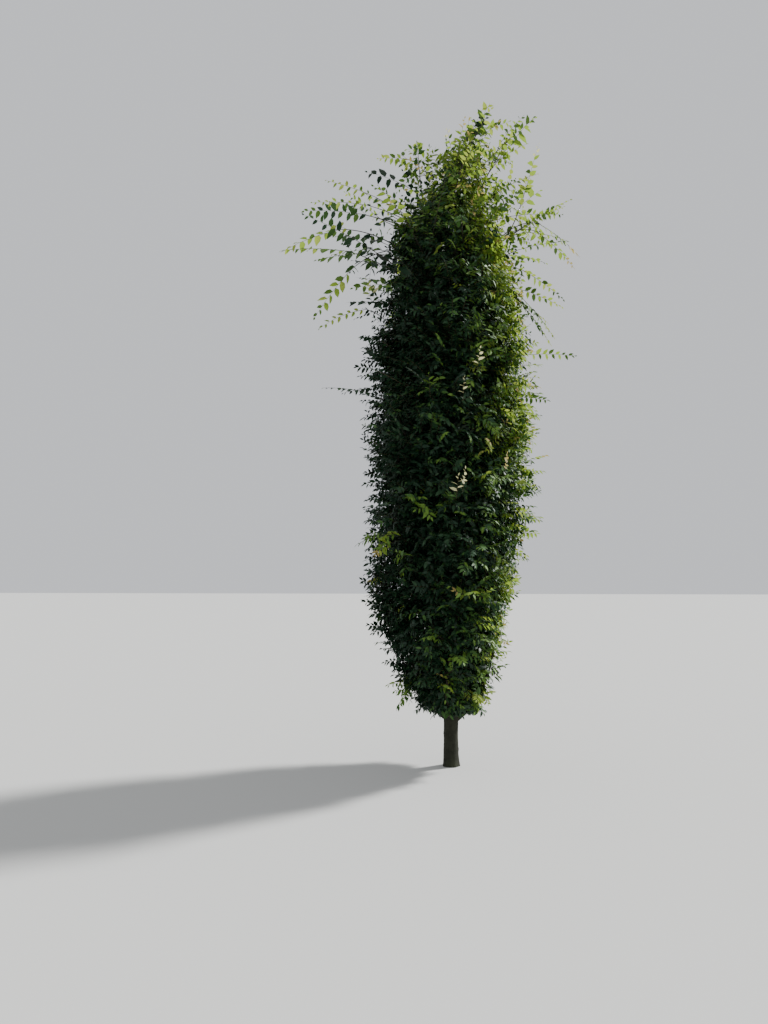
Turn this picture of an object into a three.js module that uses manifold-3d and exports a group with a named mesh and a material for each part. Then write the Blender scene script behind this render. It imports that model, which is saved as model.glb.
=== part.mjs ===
import * as THREE from "three";
import { mergeVertices } from "three/addons/utils/BufferGeometryUtils.js";
import Module from "manifold-3d";

// A nursery-grown Japanese zelkova of upright habit: a short clear stem, steep boughs, and a
// dense column of foliage, clipped on its sides, whose head has grown out again into long free
// shoots. Millimetres, +Z up. The origin is the centre of the flat cut under the trunk, +X is
// the tree's right as seen from its front, and -Y is its front.

// The whole tree
const TREE_HEIGHT = 5580;
const SEAM = 0.3; // gap where two pieces meet
const FINEST = 0.001; // corners nearer than this run together when a piece is stored
const CLEARANCE = 5; // from a mass's twigs and leaves to the walls of its own space

// The trunk runs up inside the crown as a leader. Its rings lie closer near the ground, where
// the root flare is, and it sways a little
const TRUNK = { radius: 61, tipHeight: 4520, tipRadius: 12, taper: 0.85 };
const TRUNK_FACES = { sides: 12, rings: 13, crowding: 1.7 };
const FLARE = { width: 9, height: 75, buttresses: 5, buttressShare: 0.45 };
const FORK = { height: 480, swelling: 9, spread: 130 };
const SWAY = { reach: 14, wave: 760 };

// The clipped column: an egg drawn out upwards, with shallow lumps and a dent on either side
const COLUMN = { foot: 370, widestAt: 2400, top: 5100, radius: 745, shapeBelow: 2.3, shapeAbove: 2.6 };
const LUMPS = [
  { size: 0.045, lobes: 3, rise: 1 / 430, phase: 0.4 },
  { size: 0.035, lobes: 5, rise: -1 / 270, phase: 1.3 },
];
const DENTS = [
  { azimuth: Math.PI, height: 3870, spread: 240, share: 0.22 },
  { azimuth: 0, height: 1050, spread: 620, share: 0.26 },
];

// The dome that the free shoots of the head reach, longer on the left
const DOME = { centre: 4150, up: 1520, down: 1500, shape: 2.4, radius: 1020 };
const LEFT_SHOOTS = { height: 4350, spread: 420, longer: 0.41 };

// The top of the crown leans to the right, more and more towards its tip
const HEAD_LEAN = { from: 4300, growth: 0.0002 }; // growth in millimetres for each square one

// The hollow round the trunk, where the boughs rise, and the leader's own space above it
const HOLLOW = { foot: 190, taper: 0.018 };
const LEADER_SPACE = { from: 4480, radius: 150, flare: 0.15 };

// Each tier's masses wind round the trunk as they rise, so no straight slot shows between them
const WINDING = 0.00042; // radians for each millimetre up

// Slanting floors between the tiers of foliage. They rise outwards, and sink beyond the column.
// Over the head, the sky falls outwards, and most on the side away from the highest shoots
const WAVE = { size: 55, lobes: 2, period: 500 };
const FLOORS = {
  skirt: { level: 350, rise: 0.02, droop: 0, waves: 0, lean: 0 },
  waist: { level: 1280, rise: 0.42, droop: 0, waves: 1, lean: 0 },
  flank: { level: 2370, rise: 0.48, droop: 0, waves: 1, lean: 0 },
  shoulder: { level: 3400, rise: 0.42, droop: 1.7, waves: 1, lean: 0 },
  head: { level: 4260, rise: 0.5, droop: 0.35, waves: 1, lean: 0 },
  sky: { level: TREE_HEIGHT + 30, rise: -0.12, droop: 0, waves: 0, lean: 0.75 },
};
const DROOP_FROM = 650;
const LEAN_AZIMUTH = 0.6; // radians from +X, where the highest shoots are

// Boughs climb steeply in the hollow. Neighbouring boughs leave the trunk at different heights
const BOUGH = { sides: 6, steps: 4, rankStep: 0.1, bendOut: 0.7, bendUp: 0.45, taper: 0.7, tip: 0.62 };

// The stem inside a mass goes on from the bough's tip to just under the mass's ceiling
const STEM = { sides: 5, steps: 3, tipRadius: 6, outward: 0.5, bow: 0.45, below: 120 };
const HEAD_STEM = { outward: 0.42, dome: 5000, below: 200 };
const LEADER_STEM = { outward: 0.2, bow: 0.5, top: TREE_HEIGHT - 160 };

// Twigs bow upwards from the stem. Each has a leaf at its tip and others on alternate sides
const TWIG = { sides: 3, steps: 2, tipRadius: 4, taper: 0.004, bow: 0.14, spread: 0.88 };
const ON_STEM = { first: 0.05, step: 0.03, steps: 8, range: 0.6, hidden: 40 };
const TWIG_ENDS = { aboveFloor: 0.3, belowCeiling: 0.25, withinReach: 0.66, offHollow: 0.3 };
const LEADER_TWIG = { reach: 0.5, climb: 300 };

// A leaf stands for a spray of real leaves, which are 60 to 80 mm long
const LEAF = { width: 0.4, thickness: 0.022, widestAt: 0.42, fold: 0.12, apart: 0.33 };
const LEAF_TURNS = { tried: 7, roll: 0.7, endSwing: 0.2, swing: [0.75, 1.15], lengths: [0.8, 1.05] };
const LEAF_ROWS = { clipped: { share: 0.42, droop: 0.5 }, free: { share: 0.62, droop: 0.25 } };
const LEAF_FACE = { outwards: 0.75, upwards: 0.65 };
const LEAF_RETRY = { droop: 0.08, shrink: 0.05 };

// The closed inside of a dense mass is a lumpy block with rounded edges
const CORE = { roundness: 0.22, lumps: 0.18, width: 0.965, height: 0.975, inset: 40 };

// Each tier: how its boughs leave the trunk and how its twigs and leaves stand. Free is the
// share of twigs that are shoots long enough to leave the clipped outline
const TIERS = {
  skirt: {
    floor: "skirt", ceiling: "waist", boughRise: 150, boughRadius: 24, entry: 150, core: 0.68,
    twigs: 6, leavesEach: 3, leafLength: 340, ascent: 0.12, reach: [0.97, 1.04], free: 0,
  },
  waist: {
    floor: "waist", ceiling: "flank", boughRise: 880, boughRadius: 27, entry: 190, core: 0.68,
    twigs: 8, leavesEach: 3, leafLength: 350, ascent: 0.4, reach: [0.97, 1.04], free: 0,
  },
  flank: {
    floor: "flank", ceiling: "shoulder", boughRise: 900, boughRadius: 23, entry: 190, core: 0.68,
    twigs: 6, leavesEach: 3, leafLength: 355, ascent: 0.55, reach: [0.96, 1.06], free: 0.15,
  },
  shoulder: {
    floor: "shoulder", ceiling: "head", boughRise: 860, boughRadius: 15, entry: 170, core: 0.62,
    twigs: 6, leavesEach: 3, leafLength: 275, ascent: 0.42, reach: [0.56, 0.95], free: 1,
  },
  head: {
    floor: "head", ceiling: "sky", boughRise: 460, boughRadius: 12, entry: 130, core: 0,
    twigs: 5, leavesEach: 5, leafLength: 230, ascent: 1.15, reach: [0.6, 1.0], free: 1,
  },
};
const STRAY_REACH = 1.45; // of a free shoot on the clipped sides, as a share of their radius

// The masses of foliage, by tier, with the azimuth of each in degrees from +X
const MASSES = [
  ...ring("skirt", ["right", "back", "left", "front"], -10),
  ...ring("waist", ["back_right", "back_left", "front_left", "front_right"], 30),
  ...ring("flank", ["right", "back", "left", "front"], -14),
  ...ring("shoulder", ["right", "right_back", "left_back", "left", "left_front", "right_front"], -20),
  ...ring("head", ["right", "back", "left", "front"], 0),
  { tier: "head", name: "leader", azimuth: -5, halfAngle: 180 },
];

// Masses set evenly round the trunk. Rank keeps neighbours' boughs apart where they leave it
function ring(tier, names, firstAzimuth) {
  return names.map((name, index) => ({
    tier,
    name,
    rank: ((2 * index) % names.length) + Math.floor((2 * index) / names.length),
    azimuth: firstAzimuth + (360 / names.length) * index,
    halfAngle: 180 / names.length,
  }));
}

// A repeatable number from 0 to 1 for any row of whole numbers
function chance(...keys) {
  let hash = 2166136261;
  for (const key of keys) {
    hash = Math.imul(hash ^ (key + 1), 16777619);
    hash ^= hash >>> 15;
  }
  hash = Math.imul(hash ^ (hash >>> 13), 2246822507);
  return ((hash ^ (hash >>> 16)) >>> 0) / 4294967296;
}

// The i-th of a row of points that stays even over a unit square however long it grows
function evenly(i, shift) {
  return [(shift + (i + 1) * 0.7548776662) % 1, (shift * 1.7 + (i + 1) * 0.5698402910) % 1];
}

const mix = THREE.MathUtils.lerp;
const clamp = THREE.MathUtils.clamp;
const UP = new THREE.Vector3(0, 0, 1);

function polar(azimuth, radius, z) {
  return new THREE.Vector3(radius * Math.cos(azimuth), radius * Math.sin(azimuth), z);
}

// How far the middle of the crown stands to the right of the origin at a height
function leanAt(z) {
  return HEAD_LEAN.growth * Math.max(0, z - HEAD_LEAN.from) ** 2;
}

// The point at an azimuth and a distance from the middle of the crown at a height
function inCrown(azimuth, radius, z) {
  return polar(azimuth, radius, z).add(new THREE.Vector3(leanAt(z), 0, 0));
}

// Half-width of the clipped column
function columnRadius(z, azimuth) {
  const below = z < COLUMN.widestAt;
  const span = below ? COLUMN.widestAt - COLUMN.foot : COLUMN.top - COLUMN.widestAt;
  const away = clamp(Math.abs(z - COLUMN.widestAt) / span, 0, 1);
  const smooth = COLUMN.radius * Math.sqrt(1 - away ** (below ? COLUMN.shapeBelow : COLUMN.shapeAbove));
  const lumps = LUMPS.map((l) => l.size * Math.cos(l.lobes * azimuth + z * l.rise + l.phase));
  const dents = DENTS.map((dent) => dent.share * nearness(dent, z, azimuth));
  return smooth * (1 + lumps[0] + lumps[1]) * (1 - dents[0] - dents[1]);
}

// How near a place on the column is to the middle of a dent: 1 there, and 0 far from it
function nearness(dent, z, azimuth) {
  const facing = Math.max(0, Math.cos(azimuth - dent.azimuth)) ** 2;
  return facing * Math.exp(-(((z - dent.height) / dent.spread) ** 2));
}

// Reach of the longest free shoots
function domeRadius(z, azimuth) {
  const away = z > DOME.centre ? (z - DOME.centre) / DOME.up : (DOME.centre - z) / DOME.down;
  const left = Math.max(0, -Math.cos(azimuth)) ** 2;
  const offHeight = (z - LEFT_SHOOTS.height) / LEFT_SHOOTS.spread;
  const longer = LEFT_SHOOTS.longer * left * Math.exp(-(offHeight ** 2));
  return DOME.radius * (1 + longer) * Math.sqrt(Math.max(0, 1 - away ** DOME.shape));
}

// Radius of the hollow round the trunk
function hollowRadius(z) {
  return HOLLOW.foot - HOLLOW.taper * z;
}

// Radius of the space that the leader's own foliage keeps
function leaderSpaceRadius(z) {
  return LEADER_SPACE.radius + LEADER_SPACE.flare * Math.max(0, z - LEADER_SPACE.from);
}

// Height of the slanting floor of a tier
function floorHeight(name, radius, azimuth) {
  const { level, rise, droop, waves, lean } = FLOORS[name];
  const wave = waves * WAVE.size * Math.cos(WAVE.lobes * azimuth + level / WAVE.period);
  const fall = (lean * (1 - Math.cos(azimuth - LEAN_AZIMUTH))) / 2;
  return level + (rise - fall) * radius - droop * Math.max(0, radius - DROOP_FROM) + wave;
}

// Azimuth of the middle of a mass at a height
function middleAzimuth(mass, z) {
  return THREE.MathUtils.degToRad(mass.azimuth) + WINDING * (z - FLOORS[TIERS[mass.tier].floor].level);
}

function isLeader(mass) {
  return mass.name === "leader";
}

// Distance from the axis at which a mass's own space begins
function innerRadius(mass, z) {
  if (isLeader(mass)) return 0;
  return mass.tier === "head" ? Math.max(hollowRadius(z), leaderSpaceRadius(z)) : hollowRadius(z);
}

// How far a point lies inside its mass's own space, or below 0 outside it
function roomAt(mass, point) {
  const across = point.x - leanAt(point.z);
  const radius = Math.hypot(across, point.y);
  const azimuth = Math.atan2(point.y, across);
  const tier = TIERS[mass.tier];
  const top = floorHeight(tier.ceiling, radius, azimuth) - point.z;
  if (isLeader(mass)) {
    return Math.min(top, point.z - TRUNK.tipHeight, leaderSpaceRadius(point.z) - radius);
  }
  const centre = middleAzimuth(mass, point.z);
  const turn = Math.abs(Math.atan2(Math.sin(azimuth - centre), Math.cos(azimuth - centre)));
  const side = radius * Math.sin(THREE.MathUtils.degToRad(mass.halfAngle) - turn);
  const bottom = point.z - floorHeight(tier.floor, radius, azimuth);
  return Math.min(side, bottom, top, radius - innerRadius(mass, point.z));
}

function trunkCentre(z) {
  const sway = SWAY.reach * (1 - Math.exp(-z / SWAY.wave));
  return new THREE.Vector3(sway * Math.sin(z / SWAY.wave), sway * Math.cos(1 + z / SWAY.wave) - sway, z);
}

function trunkRadius(z) {
  const height = clamp(z / TRUNK.tipHeight, 0, 1);
  const swelling = FORK.swelling * Math.exp(-(((z - FORK.height) / FORK.spread) ** 2));
  return mix(TRUNK.radius, TRUNK.tipRadius, height ** TRUNK.taper) + swelling;
}

const wasm = await Module();
wasm.setup();

// A closed geometry as a solid that can be joined and cut
function solidOf(geometry) {
  const bare = geometry.index ? geometry.toNonIndexed() : geometry.clone();
  bare.deleteAttribute("normal");
  bare.deleteAttribute("uv");
  const merged = mergeVertices(bare, FINEST);
  return new wasm.Manifold(
    new wasm.Mesh({
      numProp: 3,
      vertProperties: merged.getAttribute("position").array,
      triVerts: new Uint32Array(merged.index.array),
    }),
  );
}

function geometryOf(solid) {
  const mesh = solid.getMesh();
  return new THREE.BufferGeometry()
    .setAttribute("position", new THREE.BufferAttribute(mesh.vertProperties, 3))
    .setIndex(new THREE.BufferAttribute(mesh.triVerts, 1))
    .toNonIndexed();
}

// The largest body of a solid, without loose scraps or sealed hollows
function largestBody(solid) {
  return solid.decompose().reduce((best, body) => (body.volume() > best.volume() ? body : best));
}

// Whether a solid stays one closed surface, two faces to an edge, when its corners are rounded
function isSound(solid) {
  const { index } = mergeVertices(geometryOf(solid), FINEST);
  const faces = new Map();
  for (let k = 0; k < index.count; k += 3) {
    const corners = [index.getX(k), index.getX(k + 1), index.getX(k + 2)];
    if (new Set(corners).size < 3) continue;
    corners.forEach((corner, j) => {
      const edge = [corner, corners[(j + 1) % 3]].sort((p, q) => p - q).join();
      faces.set(edge, (faces.get(edge) ?? 0) + 1);
    });
  }
  return [...faces.values()].every((count) => count === 2);
}

// A round limb that tapers along a curve, to a flat end or to a point
function limb(curve, radiusAt, { sides, steps, pointed = false }) {
  const geometry = pointed
    ? new THREE.ConeGeometry(1, 1, sides, steps)
    : new THREE.CylinderGeometry(1, 1, 1, sides, steps);
  const { normals, binormals } = curve.computeFrenetFrames(steps);
  const places = geometry.getAttribute("position");
  for (let i = 0; i < places.count; i += 1) {
    const step = Math.round((places.getY(i) + 0.5) * steps);
    const onAxis = Math.hypot(places.getX(i), places.getZ(i)) < 1e-6;
    const turn = Math.atan2(places.getZ(i), places.getX(i));
    const radius = onAxis ? 0 : radiusAt(step / steps);
    const point = curve
      .getPointAt(step / steps)
      .addScaledVector(normals[step], radius * Math.cos(turn))
      .addScaledVector(binormals[step], -radius * Math.sin(turn));
    places.setXYZ(i, point.x, point.y, point.z);
  }
  return geometry;
}

// The trunk, or with grown above 0 the same shape that much larger, to cut boughs clear of it
function trunkGeometry(grown = 0) {
  const geometry = new THREE.CylinderGeometry(1, 1, 1, TRUNK_FACES.sides, TRUNK_FACES.rings);
  geometry.rotateX(Math.PI / 2).translate(0, 0, 0.5);
  const places = geometry.getAttribute("position");
  for (let i = 0; i < places.count; i += 1) {
    const z = TRUNK.tipHeight * places.getZ(i) ** TRUNK_FACES.crowding;
    const onAxis = Math.hypot(places.getX(i), places.getY(i)) < 1e-6;
    const azimuth = Math.atan2(places.getY(i), places.getX(i));
    const buttress = 1 + FLARE.buttressShare * Math.cos(FLARE.buttresses * azimuth);
    const flare = FLARE.width * buttress * Math.exp(-z / FLARE.height);
    const radius = onAxis ? 0 : trunkRadius(z) + flare + grown;
    const point = trunkCentre(z).add(polar(azimuth, radius, 0));
    places.setXYZ(i, point.x, point.y, point.z);
  }
  return geometry;
}

// The bough that feeds a mass, from the middle of the trunk to where it enters the mass
function boughCurve(mass) {
  const tier = TIERS[mass.tier];
  const { level } = FLOORS[tier.floor];
  const endZ = floorHeight(tier.floor, hollowRadius(level), middleAzimuth(mass, level)) + tier.entry;
  const azimuth = middleAzimuth(mass, endZ);
  const endRadius = innerRadius(mass, endZ) + 2 * CLEARANCE;
  const rise = tier.boughRise * (1 - BOUGH.rankStep * mass.rank);
  const start = trunkCentre(endZ - rise);
  const bend = inCrown(azimuth, BOUGH.bendOut * endRadius, endZ - (1 - BOUGH.bendUp) * rise);
  return new THREE.QuadraticBezierCurve3(start, bend, inCrown(azimuth, endRadius, endZ));
}

function boughTipRadius(mass) {
  return isLeader(mass) ? TRUNK.tipRadius : BOUGH.tip * TIERS[mass.tier].boughRadius;
}

// The stem of the leader's foliage goes on from the trunk's tip
function leaderStemCurve(mass) {
  const foot = trunkCentre(TRUNK.tipHeight).addScaledVector(UP, SEAM);
  const radius = LEADER_STEM.outward * leaderSpaceRadius(TREE_HEIGHT);
  const tip = inCrown(middleAzimuth(mass, FLOORS.sky.level), radius, LEADER_STEM.top);
  const bend = foot.clone().addScaledVector(UP, LEADER_STEM.bow * (tip.z - foot.z));
  return new THREE.QuadraticBezierCurve3(foot, bend, tip);
}

// The stem that carries a mass's twigs
function stemCurve(mass) {
  if (isLeader(mass)) return leaderStemCurve(mass);
  const { ceiling } = TIERS[mass.tier];
  const bough = boughCurve(mass);
  const along = bough.getTangent(1);
  const foot = bough.v2.clone().addScaledVector(along, SEAM);
  const azimuth = middleAzimuth(mass, FLOORS[ceiling].level);
  const isHead = mass.tier === "head";
  const headRadius = HEAD_STEM.outward * domeRadius(HEAD_STEM.dome, azimuth);
  const radius = isHead ? headRadius : STEM.outward * COLUMN.radius;
  const tipZ = floorHeight(ceiling, radius, azimuth) - (isHead ? HEAD_STEM : STEM).below;
  const bend = foot.clone().addScaledVector(along, STEM.bow * (tipZ - foot.z));
  return new THREE.QuadraticBezierCurve3(foot, bend, inCrown(middleAzimuth(mass, tipZ), radius, tipZ));
}

// Distance from the trunk that a twig and its end leaf reach at a height
function twigReach(mass, seed, i, z, azimuth) {
  const tier = TIERS[mass.tier];
  const share = i === 0 ? 1 : mix(tier.reach[0], tier.reach[1], chance(seed, i, 2));
  if (isLeader(mass)) return share * leaderSpaceRadius(z);
  if (tier.free === 1) return share * domeRadius(z, azimuth);
  return columnRadius(z, azimuth) * (chance(seed, i, 1) < tier.free ? STRAY_REACH : share);
}

// Where the i-th twig of a mass ends. The first twig of a free mass is its longest
function twigEnd(mass, seed, i) {
  const tier = TIERS[mass.tier];
  const [across, upwards] = evenly(i, chance(seed, 7));
  const sideways = i === 0 ? 0 : (2 * across - 1) * TWIG.spread * THREE.MathUtils.degToRad(mass.halfAngle);
  let [azimuth, z, reach] = [middleAzimuth(mass, FLOORS[tier.floor].level), 0, 0];
  for (let pass = 0; pass < 4; pass += 1) {
    const floor = floorHeight(tier.floor, reach, azimuth);
    const ceiling = Math.min(floorHeight(tier.ceiling, reach, azimuth), TREE_HEIGHT);
    const low = floor + TWIG_ENDS.aboveFloor * tier.leafLength;
    const high = ceiling - TWIG_ENDS.belowCeiling * tier.leafLength;
    z = i === 0 && tier.free === 1 ? clamp(LEFT_SHOOTS.height, low, high) : mix(low, high, upwards);
    azimuth = middleAzimuth(mass, z) + sideways;
    reach = twigReach(mass, seed, i, z, azimuth);
  }
  const nearest = innerRadius(mass, z) + TWIG_ENDS.offHollow * tier.leafLength;
  const outward = Math.max(reach - TWIG_ENDS.withinReach * tier.leafLength, nearest);
  const tip = inCrown(azimuth, isLeader(mass) ? LEADER_TWIG.reach * reach : outward, z);
  return { tip, isFree: reach > 1.1 * columnRadius(z, azimuth) };
}

// The i-th twig of a mass, from a place on its stem
function growTwig(mass, seed, i, stem) {
  const { tip, isFree } = twigEnd(mass, seed, i);
  const run = Math.max(0, Math.hypot(tip.x, tip.y) - HOLLOW.foot);
  const climb = isLeader(mass) ? LEADER_TWIG.climb : TIERS[mass.tier].ascent * run;
  const lowest = ON_STEM.first + ON_STEM.step * (i % ON_STEM.steps);
  const onStem = (tip.z - climb - stem.v0.z) / (stem.v2.z - stem.v0.z);
  const from = stem.getPointAt(clamp(onStem, lowest, lowest + ON_STEM.range));
  const length = from.distanceTo(tip);
  const bend = from.clone().lerp(tip, 0.5).addScaledVector(UP, TWIG.bow * length);
  const radiusAt = (along) => TWIG.tipRadius + TWIG.taper * length * (1 - along);
  return { curve: new THREE.QuadraticBezierCurve3(from, bend, tip), radiusAt, isFree };
}

// A folded leaf from its root along `along`, lying across `face`
function leafGeometry(root, along, face, length) {
  const geometry = new THREE.OctahedronGeometry(1);
  const side = new THREE.Vector3().crossVectors(along, face).normalize();
  const normal = new THREE.Vector3().crossVectors(side, along).normalize();
  const places = geometry.getAttribute("position");
  for (let i = 0; i < places.count; i += 1) {
    const [x, y, z] = [places.getX(i), places.getY(i), places.getZ(i)];
    const ends = Math.abs(y) > 0.5;
    const run = ends ? ((y + 1) / 2) * length : LEAF.widestAt * length;
    const rise = z * LEAF.thickness * length + Math.abs(x) * LEAF.fold * LEAF.width * length;
    const point = root
      .clone()
      .addScaledVector(along, run)
      .addScaledVector(side, (x * LEAF.width * length) / 2)
      .addScaledVector(normal, ends ? 0 : rise);
    places.setXYZ(i, point.x, point.y, point.z);
  }
  return geometry;
}

function cornersOf(geometry) {
  const places = geometry.getAttribute("position");
  return Array.from({ length: places.count }, (_, i) => new THREE.Vector3().fromBufferAttribute(places, i));
}

function fits(mass, points) {
  return points.every((point) => roomAt(mass, point) > CLEARANCE);
}

// The k-th leaf of a twig, turned until it fits in the mass's space and lies off the others
function leafOnTwig(mass, seed, i, k, twig, others) {
  const tier = TIERS[mass.tier];
  const row = twig.isFree ? LEAF_ROWS.free : LEAF_ROWS.clipped;
  const onTwig = 1 - (k / tier.leavesEach) * row.share;
  const place = twig.curve.getPointAt(onTwig);
  const forward = twig.curve.getTangentAt(onTwig);
  const outward = new THREE.Vector3(place.x, place.y, 0).normalize();
  const depth = (k === 0 ? 1 : 0.4) * twig.radiusAt(onTwig);
  for (let turn = 0; turn < LEAF_TURNS.tried; turn += 1) {
    const roll = mix(-LEAF_TURNS.roll, LEAF_TURNS.roll, chance(seed, i, k, turn));
    const face = outward.clone().multiplyScalar(LEAF_FACE.outwards).addScaledVector(UP, LEAF_FACE.upwards);
    face.applyAxisAngle(forward, roll).normalize();
    const side = new THREE.Vector3().crossVectors(forward, face).normalize();
    const swing = k === 0 ? LEAF_TURNS.endSwing : mix(...LEAF_TURNS.swing, chance(seed, i, k, turn, 5));
    const along = forward
      .clone()
      .multiplyScalar(Math.cos(swing))
      .addScaledVector(side, Math.sin(swing) * (k % 2 ? 1 : -1))
      .addScaledVector(UP, -row.droop - LEAF_RETRY.droop * turn)
      .normalize();
    const shrunk = 1 - LEAF_RETRY.shrink * turn;
    const length = tier.leafLength * shrunk * mix(...LEAF_TURNS.lengths, chance(seed, i, k, 9));
    const root = place.clone().addScaledVector(along, -depth);
    const middle = root.clone().addScaledVector(along, LEAF.widestAt * length);
    const leaf = leafGeometry(root, along, face, length);
    const isClear = others.every((other) => other.distanceTo(middle) > LEAF.apart * length);
    if (isClear && fits(mass, cornersOf(leaf))) {
      others.push(middle);
      return leaf;
    }
  }
  return null;
}

// Where a point of a core lies, given its place in the core from -1 to 1 each way
function placeInCore(mass, outwards, across, upwards, lump) {
  const { floor, ceiling, core } = TIERS[mass.tier];
  const level = (1 + upwards * CORE.height) / 2;
  const aside = across * THREE.MathUtils.degToRad(mass.halfAngle) * CORE.width;
  const heightAt = (radius, azimuth) =>
    mix(floorHeight(floor, radius, azimuth), floorHeight(ceiling, radius, azimuth), level);
  const nearby = middleAzimuth(mass, mix(FLOORS[floor].level, FLOORS[ceiling].level, level)) + aside;
  const middle = heightAt(STEM.outward * COLUMN.radius, nearby);
  const inner = hollowRadius(middle) + CORE.inset;
  const outer = Math.max(core * lump * columnRadius(middle, nearby), inner + CORE.inset);
  const radius = mix(inner, outer, (1 + outwards) / 2);
  const z = heightAt(radius, nearby);
  return inCrown(middleAzimuth(mass, z) + aside, radius, z);
}

function coreGeometry(mass, seed) {
  const geometry = new THREE.BoxGeometry(2, 2, 2, 2, 3, 3);
  const places = geometry.getAttribute("position");
  for (let i = 0; i < places.count; i += 1) {
    const corner = new THREE.Vector3().fromBufferAttribute(places, i);
    const keys = corner.toArray().map((value) => Math.round(3 * value) + 3);
    const lump = 1 - CORE.lumps * chance(seed, ...keys);
    corner.lerp(corner.clone().normalize(), CORE.roundness);
    const point = placeInCore(mass, ...corner.toArray(), lump);
    places.setXYZ(i, point.x, point.y, point.z);
  }
  return geometry;
}

// A twig with its leaves, or null where the twig would leave the mass's space
function sprayOf(mass, seed, i, twig, others) {
  const shape = limb(twig.curve, twig.radiusAt, TWIG);
  const outside = cornersOf(shape).filter((corner) => corner.distanceTo(twig.curve.v0) > ON_STEM.hidden);
  if (!fits(mass, outside)) return null;
  let spray = solidOf(shape);
  for (let k = 0; k < TIERS[mass.tier].leavesEach; k += 1) {
    const leaf = leafOnTwig(mass, seed, i, k, twig, others);
    if (leaf) spray = spray.add(solidOf(leaf));
  }
  return spray;
}

function foliageSolid(mass, seed) {
  const tier = TIERS[mass.tier];
  const stem = stemCurve(mass);
  const stemRadius = (share) => mix(boughTipRadius(mass), STEM.tipRadius, share);
  let solid = solidOf(limb(stem, stemRadius, { ...STEM, pointed: true }));
  if (tier.core > 0) solid = solid.add(solidOf(coreGeometry(mass, seed)));
  const others = [];
  for (let i = 0; i < tier.twigs; i += 1) {
    const spray = sprayOf(mass, seed, i, growTwig(mass, seed, i, stem), others);
    const joined = spray ? solid.add(spray) : solid;
    if (isSound(joined)) solid = joined;
  }
  return largestBody(solid);
}

function boughSolid(mass) {
  const { boughRadius } = TIERS[mass.tier];
  const radiusAt = (share) => mix(boughRadius, boughTipRadius(mass), share ** BOUGH.taper);
  const whole = solidOf(limb(boughCurve(mass), radiusAt, BOUGH));
  const seamAtCorners = SEAM / Math.cos(Math.PI / TRUNK_FACES.sides);
  return largestBody(whole.subtract(solidOf(trunkGeometry(seamAtCorners))));
}

const BARK = { color: 0x6f665a, roughness: 0.9, metalness: 0 };
const LEAF_GREENS = {
  skirt: 0x2e4a22,
  waist: 0x2f4d22,
  flank: 0x345425,
  shoulder: 0x46702a,
  head: 0x5c8a30,
};

function addNode(tree, name, solid, look) {
  const mesh = new THREE.Mesh(geometryOf(solid), new THREE.MeshStandardMaterial(look));
  mesh.geometry.computeVertexNormals();
  mesh.name = name;
  tree.add(mesh);
}

const tree = new THREE.Group();
addNode(tree, "trunk", solidOf(trunkGeometry()), BARK);
MASSES.forEach((mass, seed) => {
  if (!isLeader(mass)) addNode(tree, `bough_${mass.tier}_${mass.name}`, boughSolid(mass), BARK);
  const green = { color: LEAF_GREENS[mass.tier], roughness: 0.6, metalness: 0 };
  addNode(tree, `foliage_${mass.tier}_${mass.name}`, foliageSolid(mass, seed), green);
});

export default tree;
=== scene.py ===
"""A nursery-grown Japanese zelkova, dressed with bark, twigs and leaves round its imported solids.

The crown grows by the rule that the solids follow: each mass of foliage has a stem, its shoots end
evenly over the space that the mass keeps, and side twigs stand on alternate sides of each shoot.
Here the same rule goes on to more shoots, finer twigs and single leaves. Metres, +Z up, the origin
in the flat cut under the trunk, and the tree's front towards -Y.
"""

import logging
import math
from collections.abc import Callable
from dataclasses import dataclass, replace
from enum import Enum, IntEnum
from typing import Any

import bmesh
import bpy
import numpy as np
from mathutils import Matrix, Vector, noise


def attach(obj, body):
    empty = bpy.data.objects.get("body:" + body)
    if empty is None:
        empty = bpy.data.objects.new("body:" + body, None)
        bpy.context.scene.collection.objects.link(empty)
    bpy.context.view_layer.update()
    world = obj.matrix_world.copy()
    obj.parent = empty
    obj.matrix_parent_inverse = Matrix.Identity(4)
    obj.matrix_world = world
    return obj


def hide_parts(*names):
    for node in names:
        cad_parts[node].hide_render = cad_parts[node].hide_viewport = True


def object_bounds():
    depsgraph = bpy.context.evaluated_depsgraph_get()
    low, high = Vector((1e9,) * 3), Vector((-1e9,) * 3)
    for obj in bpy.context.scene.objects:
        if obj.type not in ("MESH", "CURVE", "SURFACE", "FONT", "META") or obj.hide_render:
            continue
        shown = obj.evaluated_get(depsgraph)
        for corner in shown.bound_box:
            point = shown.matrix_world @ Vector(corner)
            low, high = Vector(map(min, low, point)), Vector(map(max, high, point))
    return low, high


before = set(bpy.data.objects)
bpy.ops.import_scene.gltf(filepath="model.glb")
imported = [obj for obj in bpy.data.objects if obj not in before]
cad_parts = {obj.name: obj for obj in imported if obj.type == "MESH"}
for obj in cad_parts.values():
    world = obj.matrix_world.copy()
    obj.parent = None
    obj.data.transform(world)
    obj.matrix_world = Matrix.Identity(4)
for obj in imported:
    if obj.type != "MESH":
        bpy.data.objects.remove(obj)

LOG = logging.getLogger("zelkova")
CAD_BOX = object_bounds()
BODY = "root"
UP = np.array((0.0, 0.0, 1.0))
TURN = 2 * math.pi
EVEN_STEPS = (0.7548776662, 0.5698402910)
EVEN_SHIFTS = (1.0, 1.7)

Colour = tuple[float, float, float]
Shares = float | np.ndarray
Material = bpy.types.Material
Piece = bpy.types.Object
Skin = Callable[[float, float, float], Vector]


# Sums that the whole crown shares


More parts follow.
